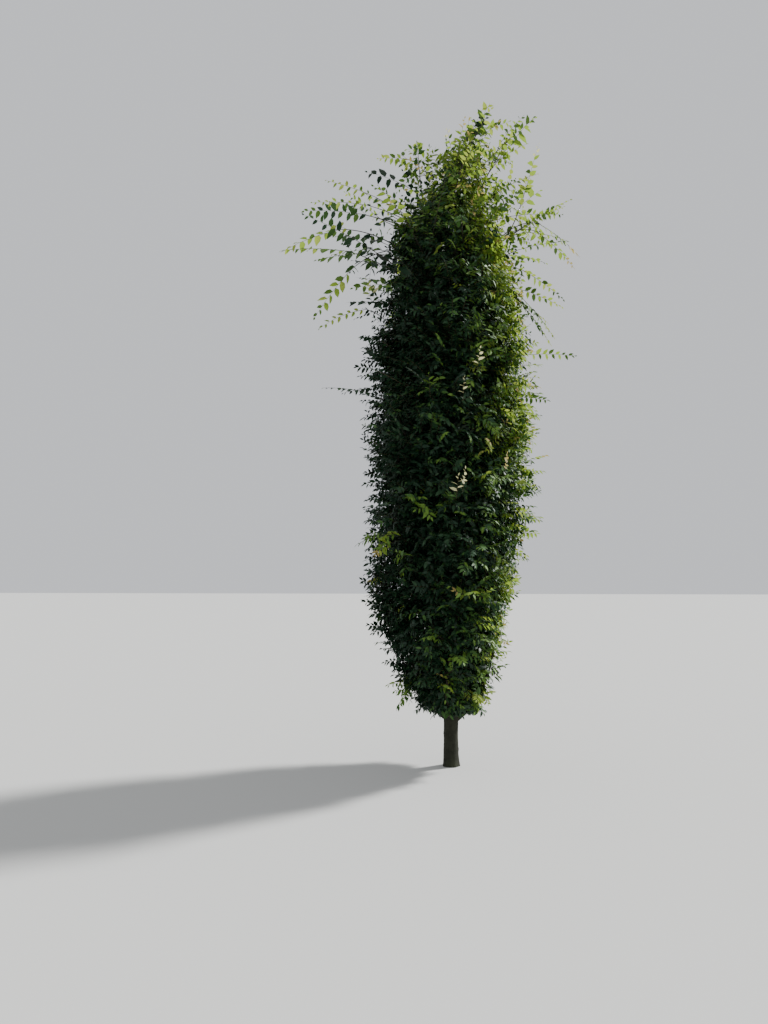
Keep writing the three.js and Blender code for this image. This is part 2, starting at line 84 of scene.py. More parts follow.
class Draw(IntEnum):
    """What a repeatable number is drawn for. It is the last of the keys that the number goes by."""

    TWIG_ROLL = 0
    STRAY_SHOOT = 1
    REACH = 2
    SWING = 5
    START = 7
    TWIG_LENGTH = 9
    TWIG_TINT = 11
    YOUNG_AND_GLINT = 12
    FACE_ROLL = 13
    BRONZE_TIP = 14
    STRAY_TWIG = 21
    SHOOT_TINT = 31
    BOW = 41


def chance(*keys: int) -> float:
    """A repeatable number from 0 to 1 for any row of whole numbers.

    Args:
        keys: The whole numbers, none below 0.

    Returns:
        The number that belongs to them.
    """
    low_bits, mixed, prime, stir = 0xFFFFFFFF, 2166136261, 16777619, 2246822507
    for key in keys:
        mixed = ((mixed ^ (key + 1)) * prime) & low_bits
        mixed ^= mixed >> 15
    mixed = ((mixed ^ (mixed >> 13)) * stir) & low_bits
    return (mixed ^ (mixed >> 16)) / 2**32


def evenly(index: int, shift: float) -> tuple[float, float]:
    """The index-th of a row of points that stays even over a unit square however long it grows."""
    across, upwards = (shift * s + (index + 1) * step for s, step in zip(EVEN_SHIFTS, EVEN_STEPS))
    return across % 1, upwards % 1


def mix(low: float, high: float, share: Any) -> Any:
    """The number that lies a share of the way from low to high."""
    return low + (high - low) * share


def clamp(value: float, low: float, high: float) -> float:
    """The value, held between low and high."""
    return max(low, min(high, value))


def unit(vectors: np.ndarray) -> np.ndarray:
    """The vectors, one or a row of them, at length 1."""
    return vectors / np.maximum(np.linalg.norm(vectors, axis=-1, keepdims=True), 1e-12)


def polar(azimuth: float, radius: float, z: float) -> np.ndarray:
    """The point at an azimuth in radians, a distance from the axis and a height."""
    return np.array((radius * math.cos(azimuth), radius * math.sin(azimuth), z))


def turned(vector: np.ndarray, axis: np.ndarray, angle: float) -> np.ndarray:
    """The vector, turned about a unit axis by an angle in radians."""
    along = axis * float(axis @ vector)
    return along + (vector - along) * math.cos(angle) + np.cross(axis, vector) * math.sin(angle)


class BowedLine:
    """A line that bows once, as a quadratic curve, and is walked by its length."""

    STEPS = 48

    def __init__(self, start: np.ndarray, bend: np.ndarray, end: np.ndarray) -> None:
        """Takes the three points that rule the curve.

        Args:
            start: Where it starts.
            bend: Where its ends' directions meet.
            end: Where it ends.
        """
        self.start, self.bend, self.end = start, bend, end
        self._params = np.linspace(0, 1, self.STEPS + 1)
        spans = np.linalg.norm(np.diff(self._curve(self._params), axis=0), axis=1)
        self._run = np.concatenate(([0.0], np.cumsum(spans)))
        self.length = float(self._run[-1])

    def _curve(self, params: np.ndarray) -> np.ndarray:
        """Points at the curve's own parameters."""
        t = params[..., None]
        return (1 - t) ** 2 * self.start + 2 * t * (1 - t) * self.bend + t**2 * self.end

    def _params_at(self, shares: Shares) -> np.ndarray:
        """The curve's own parameters at shares of its length."""
        return np.asarray(np.interp(np.asarray(shares) * self.length, self._run, self._params))

    def points(self, shares: Shares) -> np.ndarray:
        """The point at a share of the length, or a row of them."""
        return self._curve(self._params_at(shares))

    def tangents(self, shares: Shares) -> np.ndarray:
        """The direction of length 1 at a share of the length, or a row of them."""
        t = self._params_at(shares)[..., None]
        return unit((1 - t) * (self.bend - self.start) + t * (self.end - self.bend))

    def across(self) -> np.ndarray:
        """The direction square to the plane that the curve lies in.

        Returns:
            The direction, at length 1.
        """
        square = np.cross(self.bend - self.start, self.end - self.bend)
        if np.linalg.norm(square) < 1e-9:
            square = np.cross(self.end - self.start, UP + 0.01)
        return unit(square)


def arch(start: np.ndarray, end: np.ndarray, bow: float) -> BowedLine:
    """A line between two points that bows upwards by a share of its length."""
    return BowedLine(start, (start + end) / 2 + UP * bow * float(np.linalg.norm(end - start)), end)


# The tree's plan, which its solids share


class Tier(Enum):
    """The tiers of foliage, from the ground up."""

    SKIRT = "skirt"
    WAIST = "waist"
    FLANK = "flank"
    SHOULDER = "shoulder"
    HEAD = "head"


@dataclass(frozen=True)
class Floor:
    """A slanting floor under a tier. It rises outwards, and may sink beyond the column or lean."""

    level: float
    rise: float = 0.0
    droop: float = 0.0
    waves: float = 0.0
    lean: float = 0.0


@dataclass(frozen=True)
class Lump:
    """A shallow wave on the clipped column."""

    size: float
    lobes: int
    rise: float
    phase: float

    def height(self, z: Any, azimuth: Any) -> Any:
        """The share of its width that the column gains, for numbers or arrays of them."""
        return self.size * np.cos(self.lobes * azimuth + z * self.rise + self.phase)


@dataclass(frozen=True)
class Dent:
    """A place where the clipped column is drawn in by a share of its width."""

    azimuth: float
    height: float
    spread: float
    share: float

    def depth(self, z: Any, azimuth: Any) -> Any:
        """The share of its width that the column loses, for numbers or arrays of them."""
        facing = np.maximum(0, np.cos(azimuth - self.azimuth)) ** 2
        return self.share * facing * np.exp(-(((z - self.height) / self.spread) ** 2))


@dataclass(frozen=True)
class TierPlan:
    """How one tier's boughs leave the trunk and how its shoots stand.

    The first shoots of a mass are those of its solid. Of the rest, `free_share` end at the shares
    of the dome in `free_reach`, and the others at the shares of the column in `fill`, most of them
    near its first.
    """

    ceiling: str
    bough_rise: float
    bough_radius: float
    entry: float
    spray_length: float
    ascent: float
    reach: tuple[float, float]
    free: float
    first_shoots: int
    shoots: int
    free_share: float = 0.0
    free_reach: tuple[float, float] = (0.62, 0.96)
    fill: tuple[float, float] = (1.0, 0.55)
    fill_ends: tuple[float, float] = (-0.15, -0.2)
    crowding: float = 1.8
    margin: float = 0.05


FLOORS = {
    "skirt": Floor(0.35, 0.02),
    "waist": Floor(1.28, 0.42, 0.0, 1.0),
    "flank": Floor(2.37, 0.48, 0.0, 1.0),
    "shoulder": Floor(3.4, 0.42, 1.7, 1.0),
    "head": Floor(4.26, 0.5, 0.35, 1.0),
    "sky": Floor(5.61, -0.12, lean=0.75),
}
# The numbers of a tier stand in the order of the fields above.
TIERS = {
    Tier.SKIRT: TierPlan(
        "waist", 0.15, 0.024, 0.15, 0.34, 0.12, (0.97, 1.04), 0, 6, 180, fill=(1.04, 0.5), margin=0.08
    ),
    Tier.WAIST: TierPlan("flank", 0.88, 0.027, 0.19, 0.35, 0.4, (0.97, 1.04), 0, 8, 192),
    Tier.FLANK: TierPlan("shoulder", 0.9, 0.023, 0.19, 0.355, 0.55, (0.96, 1.06), 0.15, 6, 176, 0.02),
    Tier.SHOULDER: TierPlan("head", 0.86, 0.015, 0.17, 0.275, 0.42, (0.56, 0.95), 1, 6, 88, fill=(1.0, 0.5)),
    Tier.HEAD: TierPlan(
        "sky", 0.46, 0.012, 0.13, 0.23, 1.15, (0.6, 1.0), 1, 5, 34, 0.04,
        fill=(0.98, 0.4), fill_ends=(-0.15, 2.0),
    ),
}


@dataclass(frozen=True)
class Plan:
    """The spaces that the crown fills and the lines that its limbs follow, as the solids have them."""

    tree_height: float = 5.58
    clearance: float = 0.005
    seam: float = 0.0003
    column_foot: float = 0.37
    column_widest: float = 2.4
    column_top: float = 5.1
    column_radius: float = 0.745
    column_shapes: tuple[float, float] = (2.3, 2.6)
    lumps: tuple[Lump, ...] = (Lump(0.045, 3, 1 / 0.43, 0.4), Lump(0.035, 5, -1 / 0.27, 1.3))
    dents: tuple[Dent, ...] = (Dent(math.pi, 3.87, 0.24, 0.22), Dent(0.0, 1.05, 0.62, 0.26))
    dome_centre: float = 4.15
    dome_spans: tuple[float, float] = (1.5, 1.52)
    dome_shape: float = 2.4
    dome_radius: float = 1.02
    left_height: float = 4.35
    left_spread: float = 0.42
    left_longer: float = 0.41
    hollow_foot: float = 0.19
    hollow_taper: float = 0.018
    leader_from: float = 4.48
    leader_radius: float = 0.15
    leader_flare: float = 0.15
    winding: float = 0.42
    wave_size: float = 0.055
    wave_lobes: int = 2
    wave_period: float = 0.5
    droop_from: float = 0.65
    lean_azimuth: float = 0.6
    head_lean_from: float = 4.3
    head_lean_growth: float = 0.2
    left_thinning: float = 0.35
    hem_waves: tuple[tuple[float, int, float], ...] = ((0.014, 3, 1.9), (0.012, 8, 0.4), (0.01, 17, 2.2))

    def column(self, z: Any, azimuth: Any) -> Any:
        """Half-width of the clipped column, for numbers or arrays of them.

        Args:
            z: The height, or an array of them.
            azimuth: The direction, in radians from +X, or an array of them.

        Returns:
            The distance from the middle of the crown.
        """
        below = np.less(z, self.column_widest)
        foot, top = self.column_widest - self.column_foot, self.column_top - self.column_widest
        away = np.clip(np.abs(z - self.column_widest) / np.where(below, foot, top), 0, 1)
        smooth = self.column_radius * np.sqrt(1 - away ** np.where(below, *self.column_shapes))
        waves = sum(lump.height(z, azimuth) for lump in self.lumps)
        return smooth * (1 + waves) * (1 - sum(dent.depth(z, azimuth) for dent in self.dents))

    def dome(self, z: Any, azimuth: Any) -> Any:
        """Reach of the longest free shoots, for numbers or arrays of them.

        Args:
            z: The height, or an array of them.
            azimuth: The direction, in radians from +X, or an array of them.

        Returns:
            The distance from the middle of the crown.
        """
        down, up = self.dome_spans
        away = np.clip(np.abs(z - self.dome_centre) / np.where(z > self.dome_centre, up, down), 0, 1)
        left = np.maximum(0, -np.cos(azimuth)) ** 2
        longer = self.left_longer * left * np.exp(-(((z - self.left_height) / self.left_spread) ** 2))
        return self.dome_radius * (1 + longer) * np.sqrt(1 - away**self.dome_shape)

    def hollow(self, z: float) -> float:
        """Radius of the hollow round the trunk."""
        return self.hollow_foot - self.hollow_taper * z

    def leader_space(self, z: float) -> float:
        """Radius of the space that the leader's own foliage keeps."""
        return self.leader_radius + self.leader_flare * max(0.0, z - self.leader_from)

    def lean(self, z: Any) -> Any:
        """How far right of the origin the middle of the crown stands, for heights or arrays of them."""
        return self.head_lean_growth * np.maximum(0, z - self.head_lean_from) ** 2

    def place(self, azimuth: float, radius: float, z: float) -> np.ndarray:
        """The point at an azimuth and a distance from the middle of the crown at a height."""
        return polar(azimuth, radius, z) + np.array((self.lean(z), 0.0, 0.0))

    def around(self, places: np.ndarray) -> tuple[np.ndarray, np.ndarray]:
        """The distances of places from the middle of the crown, and their azimuths."""
        across = places[..., 0] - self.lean(places[..., 2])
        return np.hypot(across, places[..., 1]), np.arctan2(places[..., 1], across)

    def hem(self, azimuth: np.ndarray) -> np.ndarray:
        """Height of the crown's ragged lower edge at azimuths."""
        waves = (size * (1 + np.cos(lobes * azimuth + phase)) for size, lobes, phase in self.hem_waves)
        return self.column_foot + sum(waves)

    def shoots(self, mass: "Mass") -> int:
        """How many shoots a mass has. The upper left of the crown is thinner than the rest.

        Args:
            mass: The mass.

        Returns:
            The number of its shoots.
        """
        tier = TIERS[mass.tier]
        left = max(0.0, -math.cos(math.radians(mass.azimuth)))
        return round(tier.shoots * (1 - self.left_thinning * left * (tier.free == 1)))

    def floor(self, name: str, radius: float, azimuth: float) -> float:
        """Height of a tier's floor at a place.

        Args:
            name: The tier's name, or sky.
            radius: The distance from the middle of the crown.
            azimuth: The direction, in radians from +X.

        Returns:
            The height.
        """
        under = FLOORS[name]
        wave = self.wave_size * math.cos(self.wave_lobes * azimuth + under.level / self.wave_period)
        fall = under.lean * (1 - math.cos(azimuth - self.lean_azimuth)) / 2
        sunk = under.droop * max(0.0, radius - self.droop_from)
        return under.level + (under.rise - fall) * radius - sunk + under.waves * wave


@dataclass(frozen=True)
class Mass:
    """One mass of foliage: its tier, its name and the wedge round the trunk that it keeps."""

    tier: Tier
    name: str
    azimuth: float
    half_angle: float
    rank: int
    seed: int

    @property
    def key(self) -> str:
        """The end of the names of this mass's nodes and pieces."""
        return f"{self.tier.value}_{self.name}"

    @property
    def is_leader(self) -> bool:
        """Whether this is the mass on the trunk's own tip."""
        return self.name == "leader"


def all_masses() -> list[Mass]:
    """The masses of foliage, tier by tier, in the order that sets their seeds.

    Returns:
        The masses.
    """
    rings = (
        (Tier.SKIRT, ("right", "back", "left", "front"), -10),
        (Tier.WAIST, ("back_right", "back_left", "front_left", "front_right"), 30),
        (Tier.FLANK, ("right", "back", "left", "front"), -14),
        (Tier.SHOULDER, ("right", "right_back", "left_back", "left", "left_front", "right_front"), -20),
        (Tier.HEAD, ("right", "back", "left", "front"), 0),
    )
    masses: list[Mass] = []
    for tier, names, first in rings:
        count = len(names)
        for index, name in enumerate(names):
            rank = (2 * index) % count + (2 * index) // count
            masses.append(Mass(tier, name, first + 360 / count * index, 180 / count, rank, len(masses)))
    masses.append(Mass(Tier.HEAD, "leader", -5, 180, 0, len(masses)))
    return masses


# Finishes


class Value:
    """An output in a shader. Arithmetic on one that is a number adds Math nodes to the tree."""

    def __init__(self, tree: bpy.types.NodeTree, socket: bpy.types.NodeSocket) -> None:
        """Wraps an output socket of a tree."""
        self.tree, self.socket = tree, socket

    def _math(self, operation: str, first: "Value | float", second: "Value | float") -> "Value":
        """A new Math node on two terms.

        Args:
            operation: The node's operation.
            first: The first term.
            second: The second term.

        Returns:
            The node's result.
        """
        node = self.tree.nodes.new("ShaderNodeMath")
        node.operation = operation
        for place, term in enumerate((first, second)):
            if isinstance(term, Value):
                self.tree.links.new(term.socket, node.inputs[place])
            else:
                node.inputs[place].default_value = term
        return Value(self.tree, node.outputs[0])

    def __add__(self, other: "Value | float") -> "Value":
        """self + other."""
        return self._math("ADD", self, other)

    def __radd__(self, other: float) -> "Value":
        """other + self."""
        return self._math("ADD", other, self)

    def __sub__(self, other: "Value | float") -> "Value":
        """self - other."""
        return self._math("SUBTRACT", self, other)

    def __rsub__(self, other: float) -> "Value":
        """other - self."""
        return self._math("SUBTRACT", other, self)

    def __mul__(self, other: "Value | float") -> "Value":
        """self * other."""
        return self._math("MULTIPLY", self, other)

    def __rmul__(self, other: float) -> "Value":
        """other * self."""
        return self._math("MULTIPLY", other, self)


class Surface:
    """The node tree of one material, with short ways to add nodes to it."""

    def __init__(self, name: str) -> None:
        """Makes an empty material.

        Args:
            name: Its name.
        """
        self.material = bpy.data.materials.new(name)
        self.material.use_nodes = True
        self.tree = self.material.node_tree
        self.tree.nodes.clear()

    def node(self, kind: str, settings: dict[str, Any], sockets: dict[Any, Any]) -> bpy.types.Node:
        """Adds a node.

        Args:
            kind: Its type, without the leading ShaderNode.
            settings: Its settings, set first. `stops` are a ramp's places and colours.
            sockets: Its inputs by name or number: plain values, or Values to link.

        Returns:
            The node.
        """
        node = self.tree.nodes.new(f"ShaderNode{kind}")
        for name, value in settings.items():
            if name == "stops":
                for stop, (position, colour) in zip(node.color_ramp.elements, value):
                    stop.position, stop.color = position, (*colour, 1.0)
            else:
                setattr(node, name, value)
        for name, value in sockets.items():
            if isinstance(value, Value):
                self.tree.links.new(value.socket, node.inputs[name])
            else:
                node.inputs[name].default_value = value
        return node

    def value(self, output: Any, kind: str, settings: dict[str, Any], sockets: dict[Any, Any]) -> Value:
        """Adds a node as `node` does, and returns one of its outputs, by name or number."""
        return Value(self.tree, self.node(kind, settings, sockets).outputs[output])

    def noise(self, place: Value, scale: float, detail: float, roughness: float = 0.5) -> Value:
        """Soft noise over a place."""
        sockets = {"Vector": place, "Scale": scale, "Detail": detail, "Roughness": roughness}
        return self.value("Fac", "TexNoise", {}, sockets)

    def ranged(self, value: Value, ends: tuple[float, float]) -> Value:
        """How far a value lies from the first end to the second, held between 0 and 1."""
        sockets = {"Value": value, "From Min": ends[0], "From Max": ends[1]}
        return self.value("Result", "MapRange", {}, sockets)

    def mixed(self, share: Value, first: Value, second: Colour) -> Value:
        """A colour that lies a share of the way from the first to the second."""
        return self.value(2, "Mix", {"data_type": "RGBA"}, {0: share, 6: first, 7: (*second, 1.0)})

    def finish(self, shader: Value) -> Material:
        """Joins a shader to the output and returns the material."""
        self.node("OutputMaterial", {}, {"Surface": shader})
        return self.material


@dataclass(frozen=True)
class BarkFinish:
    """Smooth grey-brown bark with pale cross-marks, and algae where it stays damp. Its grey-brown is
    darkened as painted shade, and more so in its fissures.
    """

    name: str
    # Grey-brown bark, darkened as painted shade on the trunk.
    dark: Colour = (0.012, 0.013, 0.008)
    pale: Colour = (0.037, 0.039, 0.025)
    mark: Colour = (0.080, 0.076, 0.050)
    algae: Colour = (0.034, 0.046, 0.016)
    blotches: float = 11.0
    blotch_detail: tuple[float, float] = (4.0, 0.6)
    blotch_ends: tuple[float, float] = (0.3, 0.72)
    fissures: float = 95.0
    fissure_detail: float = 3.0
    fissure_stretch: float = 0.28
    fissure_ends: tuple[float, float] = (0.34, 0.5)
    fissure_shade: float = 0.55
    marks: float = 150.0
    mark_stretch: float = 0.22
    mark_ends: tuple[float, float] = (0.22, 0.1)
    mark_share: float = 0.45
    mark_gloss: float = 0.12
    damp_patches: float = 3.1
    damp_detail: float = 5.0
    damp_ends: tuple[float, float] = (0.5, 0.72)
    algae_share: float = 0.5
    heights: tuple[float, float, float] = (0.7, 0.5, 0.4)
    relief: float = 0.0016
    relief_strength: float = 0.6
    roughness: float = 0.86
    shine: float = 0.25

    def material(self) -> Material:
        """Builds the bark's node tree.

        Returns:
            Its material.
        """
        surface = Surface(self.name)
        place = surface.value("Object", "TexCoord", {}, {})
        drawn_up = {"Vector": place, "Scale": (1, 1, self.fissure_stretch)}
        drawn_out = {"Vector": place, "Scale": (self.mark_stretch, self.mark_stretch, 1)}
        upright, level = (surface.value(0, "Mapping", {}, drawn) for drawn in (drawn_up, drawn_out))
        blotch = surface.noise(place, self.blotches, *self.blotch_detail)
        dash = surface.value("Distance", "TexVoronoi", {}, {"Vector": level, "Scale": self.marks})
        fissure = surface.noise(upright, self.fissures, self.fissure_detail)
        cracked = surface.ranged(fissure, self.fissure_ends)
        marked = surface.ranged(dash, self.mark_ends)
        damp = surface.ranged(surface.noise(place, self.damp_patches, self.damp_detail), self.damp_ends)
        stops = tuple(zip(self.blotch_ends, (self.dark, self.pale)))
        colour = surface.value("Color", "ValToRGB", {"stops": stops}, {"Fac": blotch})
        # Painted shade: the bark is darkened in its fissures.
        colour = surface.mixed(self.fissure_shade - self.fissure_shade * cracked, colour, self.dark)
        colour = surface.mixed(self.mark_share * marked, colour, self.mark)
        colour = surface.mixed(self.algae_share * damp, colour, self.algae)
        crack_height, mark_height, blotch_height = self.heights
        height = crack_height * cracked + mark_height * marked + blotch_height * blotch
        bump = {"Strength": self.relief_strength, "Distance": self.relief, "Height": height}
        sockets = {
            "Base Color": colour,
            "Roughness": self.roughness - self.mark_gloss * marked,
            "Normal": surface.value(0, "Bump", {}, bump),
            "Specular IOR Level": self.shine,
        }
        return surface.finish(surface.value(0, "BsdfPrincipled", {}, sockets))


@dataclass(frozen=True)
class PlainFinish:
    """One even colour, for the floor, thin wood and leaves, whose tints go by where they stand: most leaf
    tints are painted sunlight and painted shade.

    With `through`, light comes through in that colour, by the share `share`.
    """

    name: str
    colour: Colour
    roughness: float = 0.5
    shine: float = 0.4
    through: Colour | None = None
    share: float = 0.0

    def material(self) -> Material:
        """Builds the finish.

        Returns:
            Its material.
        """
        surface = Surface(self.name)
        sockets = {
            "Base Color": (*self.colour, 1.0),
            "Roughness": self.roughness,
            "Specular IOR Level": self.shine,
        }
        shader = surface.value(0, "BsdfPrincipled", {}, sockets)
        if self.through is not None:
            glow = surface.value(0, "BsdfTranslucent", {}, {"Color": (*self.through, 1.0)})
            shader = surface.value(0, "MixShader", {}, {0: self.share, 1: shader, 2: glow})
        return surface.finish(shader)


class Tint(Enum):
    """The colours of leaves, from the shaded inside of the crown to its youngest tips. The steps from the
    deepest green to the sunlit one are painted shade and painted sunlight on one kind of leaf; the young
    tint is young leaves and painted glints of sun, the pale tint pale leaves painted as if the sun catches
    them, and bronze the colour of young tips.
    """

    DEEP = 0
    SHADE = 1
    MID = 2
    HALF_LIT = 3
    SUNLIT = 4
    YOUNG_AND_GLINT = 5
    BRONZE = 6
    PALE = 7


# From the deepest green to the sunlit one these are painted shade and painted sunlight on one kind of leaf.
LEAF_FINISHES = {
    Tint.DEEP: PlainFinish("leaf_deep_green", (0.006, 0.025, 0.010), 0.5, 0.27),
    Tint.SHADE: PlainFinish("leaf_shade_green", (0.016, 0.049, 0.018), 0.52, 0.26),
    Tint.MID: PlainFinish("leaf_mid_green", (0.044, 0.108, 0.022), 0.54, 0.22),
    Tint.HALF_LIT: PlainFinish("leaf_half_lit_green", (0.100, 0.190, 0.026), 0.56, 0.2),
    Tint.SUNLIT: PlainFinish(
        "leaf_sunlit_green", (0.125, 0.205, 0.030), 0.6, 0.15, (0.29, 0.42, 0.05), 0.45
    ),
    Tint.YOUNG_AND_GLINT: PlainFinish("leaf_young_and_glint_green", (0.200, 0.270, 0.048), 0.6, 0.15, (0.40, 0.49, 0.08), 0.42),
    Tint.BRONZE: PlainFinish("leaf_bronze", (0.300, 0.240, 0.080), 0.6, 0.15, (0.48, 0.40, 0.12), 0.38),
    # Pale leaves, painted as if the sun catches them.
    Tint.PALE: PlainFinish("leaf_pale", (0.600, 0.590, 0.330), 0.6, 0.15, (0.68, 0.66, 0.34), 0.35),
}
LEAF_SLOTS = {
    Tier.SKIRT: "leaf_deep",
    Tier.WAIST: "leaf_deep",
    Tier.FLANK: "leaf_mid",
    Tier.SHOULDER: "leaf_mid",
    Tier.HEAD: "leaf_light",
}
INNER_TINTS = (Tint.DEEP, Tint.SHADE, Tint.MID, Tint.HALF_LIT)
OUTER_TINTS = (Tint.SUNLIT, Tint.YOUNG_AND_GLINT, Tint.BRONZE, Tint.PALE)
FLAT_TINTS = (Tint.DEEP, Tint.SHADE)


class Wood(IntEnum):
    """The ages of thin wood."""

    SHOOT = 0
    TWIG = 1


WOOD_FINISHES = {
    Wood.SHOOT: PlainFinish("shoot_bark", (0.036, 0.031, 0.022), 0.8, 0.2),
    Wood.TWIG: PlainFinish("twig_bark", (0.078, 0.064, 0.032), 0.7, 0.25),
}


# Meshes


def link(name: str, data: bpy.types.ID) -> Piece:
    """Puts a mesh, a light or a camera into the scene.

    Args:
        name: The name of its object.
        data: The mesh, the light or the camera.

    Returns:
        The object, at the origin.
    """
    made = bpy.data.objects.new(name, data)
    bpy.context.scene.collection.objects.link(made)
    return made


def tied(piece: Piece, slot: str, *nodes: str) -> Piece:
    """Hides the solids that a piece stands for and ties the piece to its body.

    Args:
        piece: The piece.
        slot: Its slot; not used.
        nodes: The names of the solids.

    Returns:
        The piece.
    """
    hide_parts(*nodes)
    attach(piece, BODY)
    return piece


def mesh_object(
    name: str, corners: np.ndarray, triangles: np.ndarray, kinds: np.ndarray, materials: list[Material]
) -> Piece:
    """Makes one object of many small triangles.

    Args:
        name: The piece's name.
        corners: Its corners, one row of three for each.
        triangles: Three corner numbers for each triangle.
        kinds: The number of each triangle's material.
        materials: The materials, in that order.

    Returns:
        The object, at the origin.
    """
    mesh = bpy.data.meshes.new(name)
    mesh.vertices.add(len(corners))
    mesh.loops.add(triangles.size)
    mesh.polygons.add(len(triangles))
    mesh.vertices.foreach_set("co", corners.astype(np.float32).ravel())
    mesh.loops.foreach_set("vertex_index", triangles.astype(np.int32).ravel())
    mesh.polygons.foreach_set("loop_start", np.arange(0, triangles.size, 3, dtype=np.int32))
    for material in materials:
        mesh.materials.append(material)
    mesh.polygons.foreach_set("material_index", kinds.astype(np.int32))
    mesh.update(calc_edges=True)
    mesh.shade_smooth()
    return link(name, mesh)


def limb_object(name: str, sides: int, rings: int, place: Skin, bark: Material) -> Piece:
    """A closed limb whose skin is shaped corner by corner.

    Args:
        name: The piece's name.
        sides: How many sides it has.
        rings: How many rings of faces lie along it.
        place: Gives a corner's place from its share of the length, its angle and its distance
            from the limb's middle as a share of the radius.
        bark: Its material.

    Returns:
        The object.
    """
    shape = bmesh.new()
    # The cone has a length of 1 and is lifted, so its heights are shares of the limb's length.
    bmesh.ops.create_cone(
        shape, cap_ends=True, cap_tris=False, segments=sides, radius1=1, radius2=1, depth=1
    )
    bmesh.ops.translate(shape, verts=shape.verts, vec=(0, 0, 0.5))
    long_edges = [edge for edge in shape.edges if abs(edge.verts[0].co.z - edge.verts[1].co.z) > 0.5]
    bmesh.ops.subdivide_edges(shape, edges=long_edges, cuts=rings - 1, use_grid_fill=True)
    for corner in shape.verts:
        x, y, share = corner.co
        corner.co = place(share, math.atan2(y, x), math.hypot(x, y))
    bmesh.ops.recalc_face_normals(shape, faces=shape.faces)
    mesh = bpy.data.meshes.new(name)
    shape.to_mesh(mesh)
    shape.free()
    mesh.shade_smooth()
    mesh.materials.append(bark)
    return link(name, mesh)


class Leaves:
    """Many leaves of one form, kept as rows of numbers until they become one mesh.

    Each leaf has its base, two rows of corners across it, and its tip. A folded leaf has a corner
    on its spine in each row, and a flat one hasn't.
    """

    STATIONS = ((0.25, 0.9), (0.61, 0.82))
    FOLD = 0.24
    CURL = 0.2
    FOLDED_FACES = ((0, 3, 2), (0, 2, 1), (3, 6, 5), (3, 5, 2), (2, 5, 4), (2, 4, 1), (6, 7, 5), (5, 7, 4))
    FLAT_FACES = ((0, 2, 1), (2, 4, 3), (2, 3, 1), (4, 5, 3))

    def __init__(self, is_flat: bool) -> None:
        """Starts with no leaves, of the flat form or the folded one.

        Args:
            is_flat: Whether the leaves have no fold.
        """
        self.rows: list[np.ndarray] = []
        self.turns = (1, -1) if is_flat else (1, 0, -1)
        self.faces = np.array(self.FLAT_FACES if is_flat else self.FOLDED_FACES)
        self.corner_count = 2 + len(self.STATIONS) * len(self.turns)

    def add(self, leaves: np.ndarray) -> None:
        """Adds leaves: in each row its root, where it points, how it faces, its length and its width."""
        self.rows.append(leaves)

    def count(self) -> int:
        """How many leaves there are."""
        return sum(len(row) for row in self.rows)

    def corners(self) -> np.ndarray:
        """The corners of all leaves, one row of three for each.

        Returns:
            The rows.
        """
        rows = np.vstack(self.rows)
        root, along, length, width = rows[:, 0:3], unit(rows[:, 3:6]), rows[:, 9:10], rows[:, 10:11]
        side = unit(np.cross(rows[:, 6:9], along))
        normal = np.cross(along, side)
        made = [root]
        for run, wide in self.STATIONS:
            half = wide * width / 2
            spine = root + along * run * length - normal * self.CURL * run**2 * length
            for turn in self.turns:
                made.append(spine + side * turn * half + normal * abs(turn) * self.FOLD * half)
        made.append(root + along * length - normal * self.CURL * length)
        return np.stack(made, axis=1).reshape(-1, 3)

    def triangles(self) -> np.ndarray:
        """The corner numbers of every leaf's triangles."""
        firsts = self.corner_count * np.arange(self.count())[:, None, None]
        return (self.faces[None] + firsts).reshape(-1, 3)


class Twigs:
    """Many thin tapering tubes, kept until they become one mesh."""

    def __init__(self) -> None:
        """Starts with no tubes."""
        self.tubes: list[tuple[np.ndarray, np.ndarray, np.ndarray]] = []
        self.total = 0

    def add(self, line: np.ndarray, radii: np.ndarray, across: np.ndarray, sides: int, kind: Wood) -> None:
        """Adds one tube, closed at both ends.

        Args:
            line: The points that it follows.
            radii: Its radius at each point.
            across: A direction roughly square to all of it.
            sides: How many sides it has.
            kind: Its age, which sets its material.
        """
        tangents = unit(np.gradient(line, axis=0))
        normals = unit(np.cross(across, tangents))
        flanks = np.cross(tangents, normals)
        angles = TURN * np.arange(sides) / sides
        ring = np.cos(angles)[:, None] * normals[:, None] + np.sin(angles)[:, None] * flanks[:, None]
        corners = (line[:, None] + radii[:, None, None] * ring).reshape(-1, 3)
        foot = np.arange(len(line) - 1)[:, None] * sides
        low = (foot + np.arange(sides)).ravel()
        beside = (foot + (np.arange(sides) + 1) % sides).ravel()
        fan, hub, end = np.arange(1, sides - 1), np.zeros(sides - 2, dtype=int), len(corners) - sides
        faces = (
            (low, beside, beside + sides),
            (low, beside + sides, low + sides),
            (hub, fan + 1, fan),
            (hub + end, fan + end, fan + 1 + end),
        )
        made = np.concatenate([np.column_stack(face) for face in faces]) + self.total
        self.tubes.append((corners, made, np.full(len(made), kind)))
        self.total += len(corners)

    def to_object(self, name: str, materials: list[Material]) -> Piece:
        """Makes one object of all the tubes."""
        corners, triangles, kinds = map(np.concatenate, zip(*self.tubes))
        return mesh_object(name, corners, triangles, kinds, materials)


# Wood


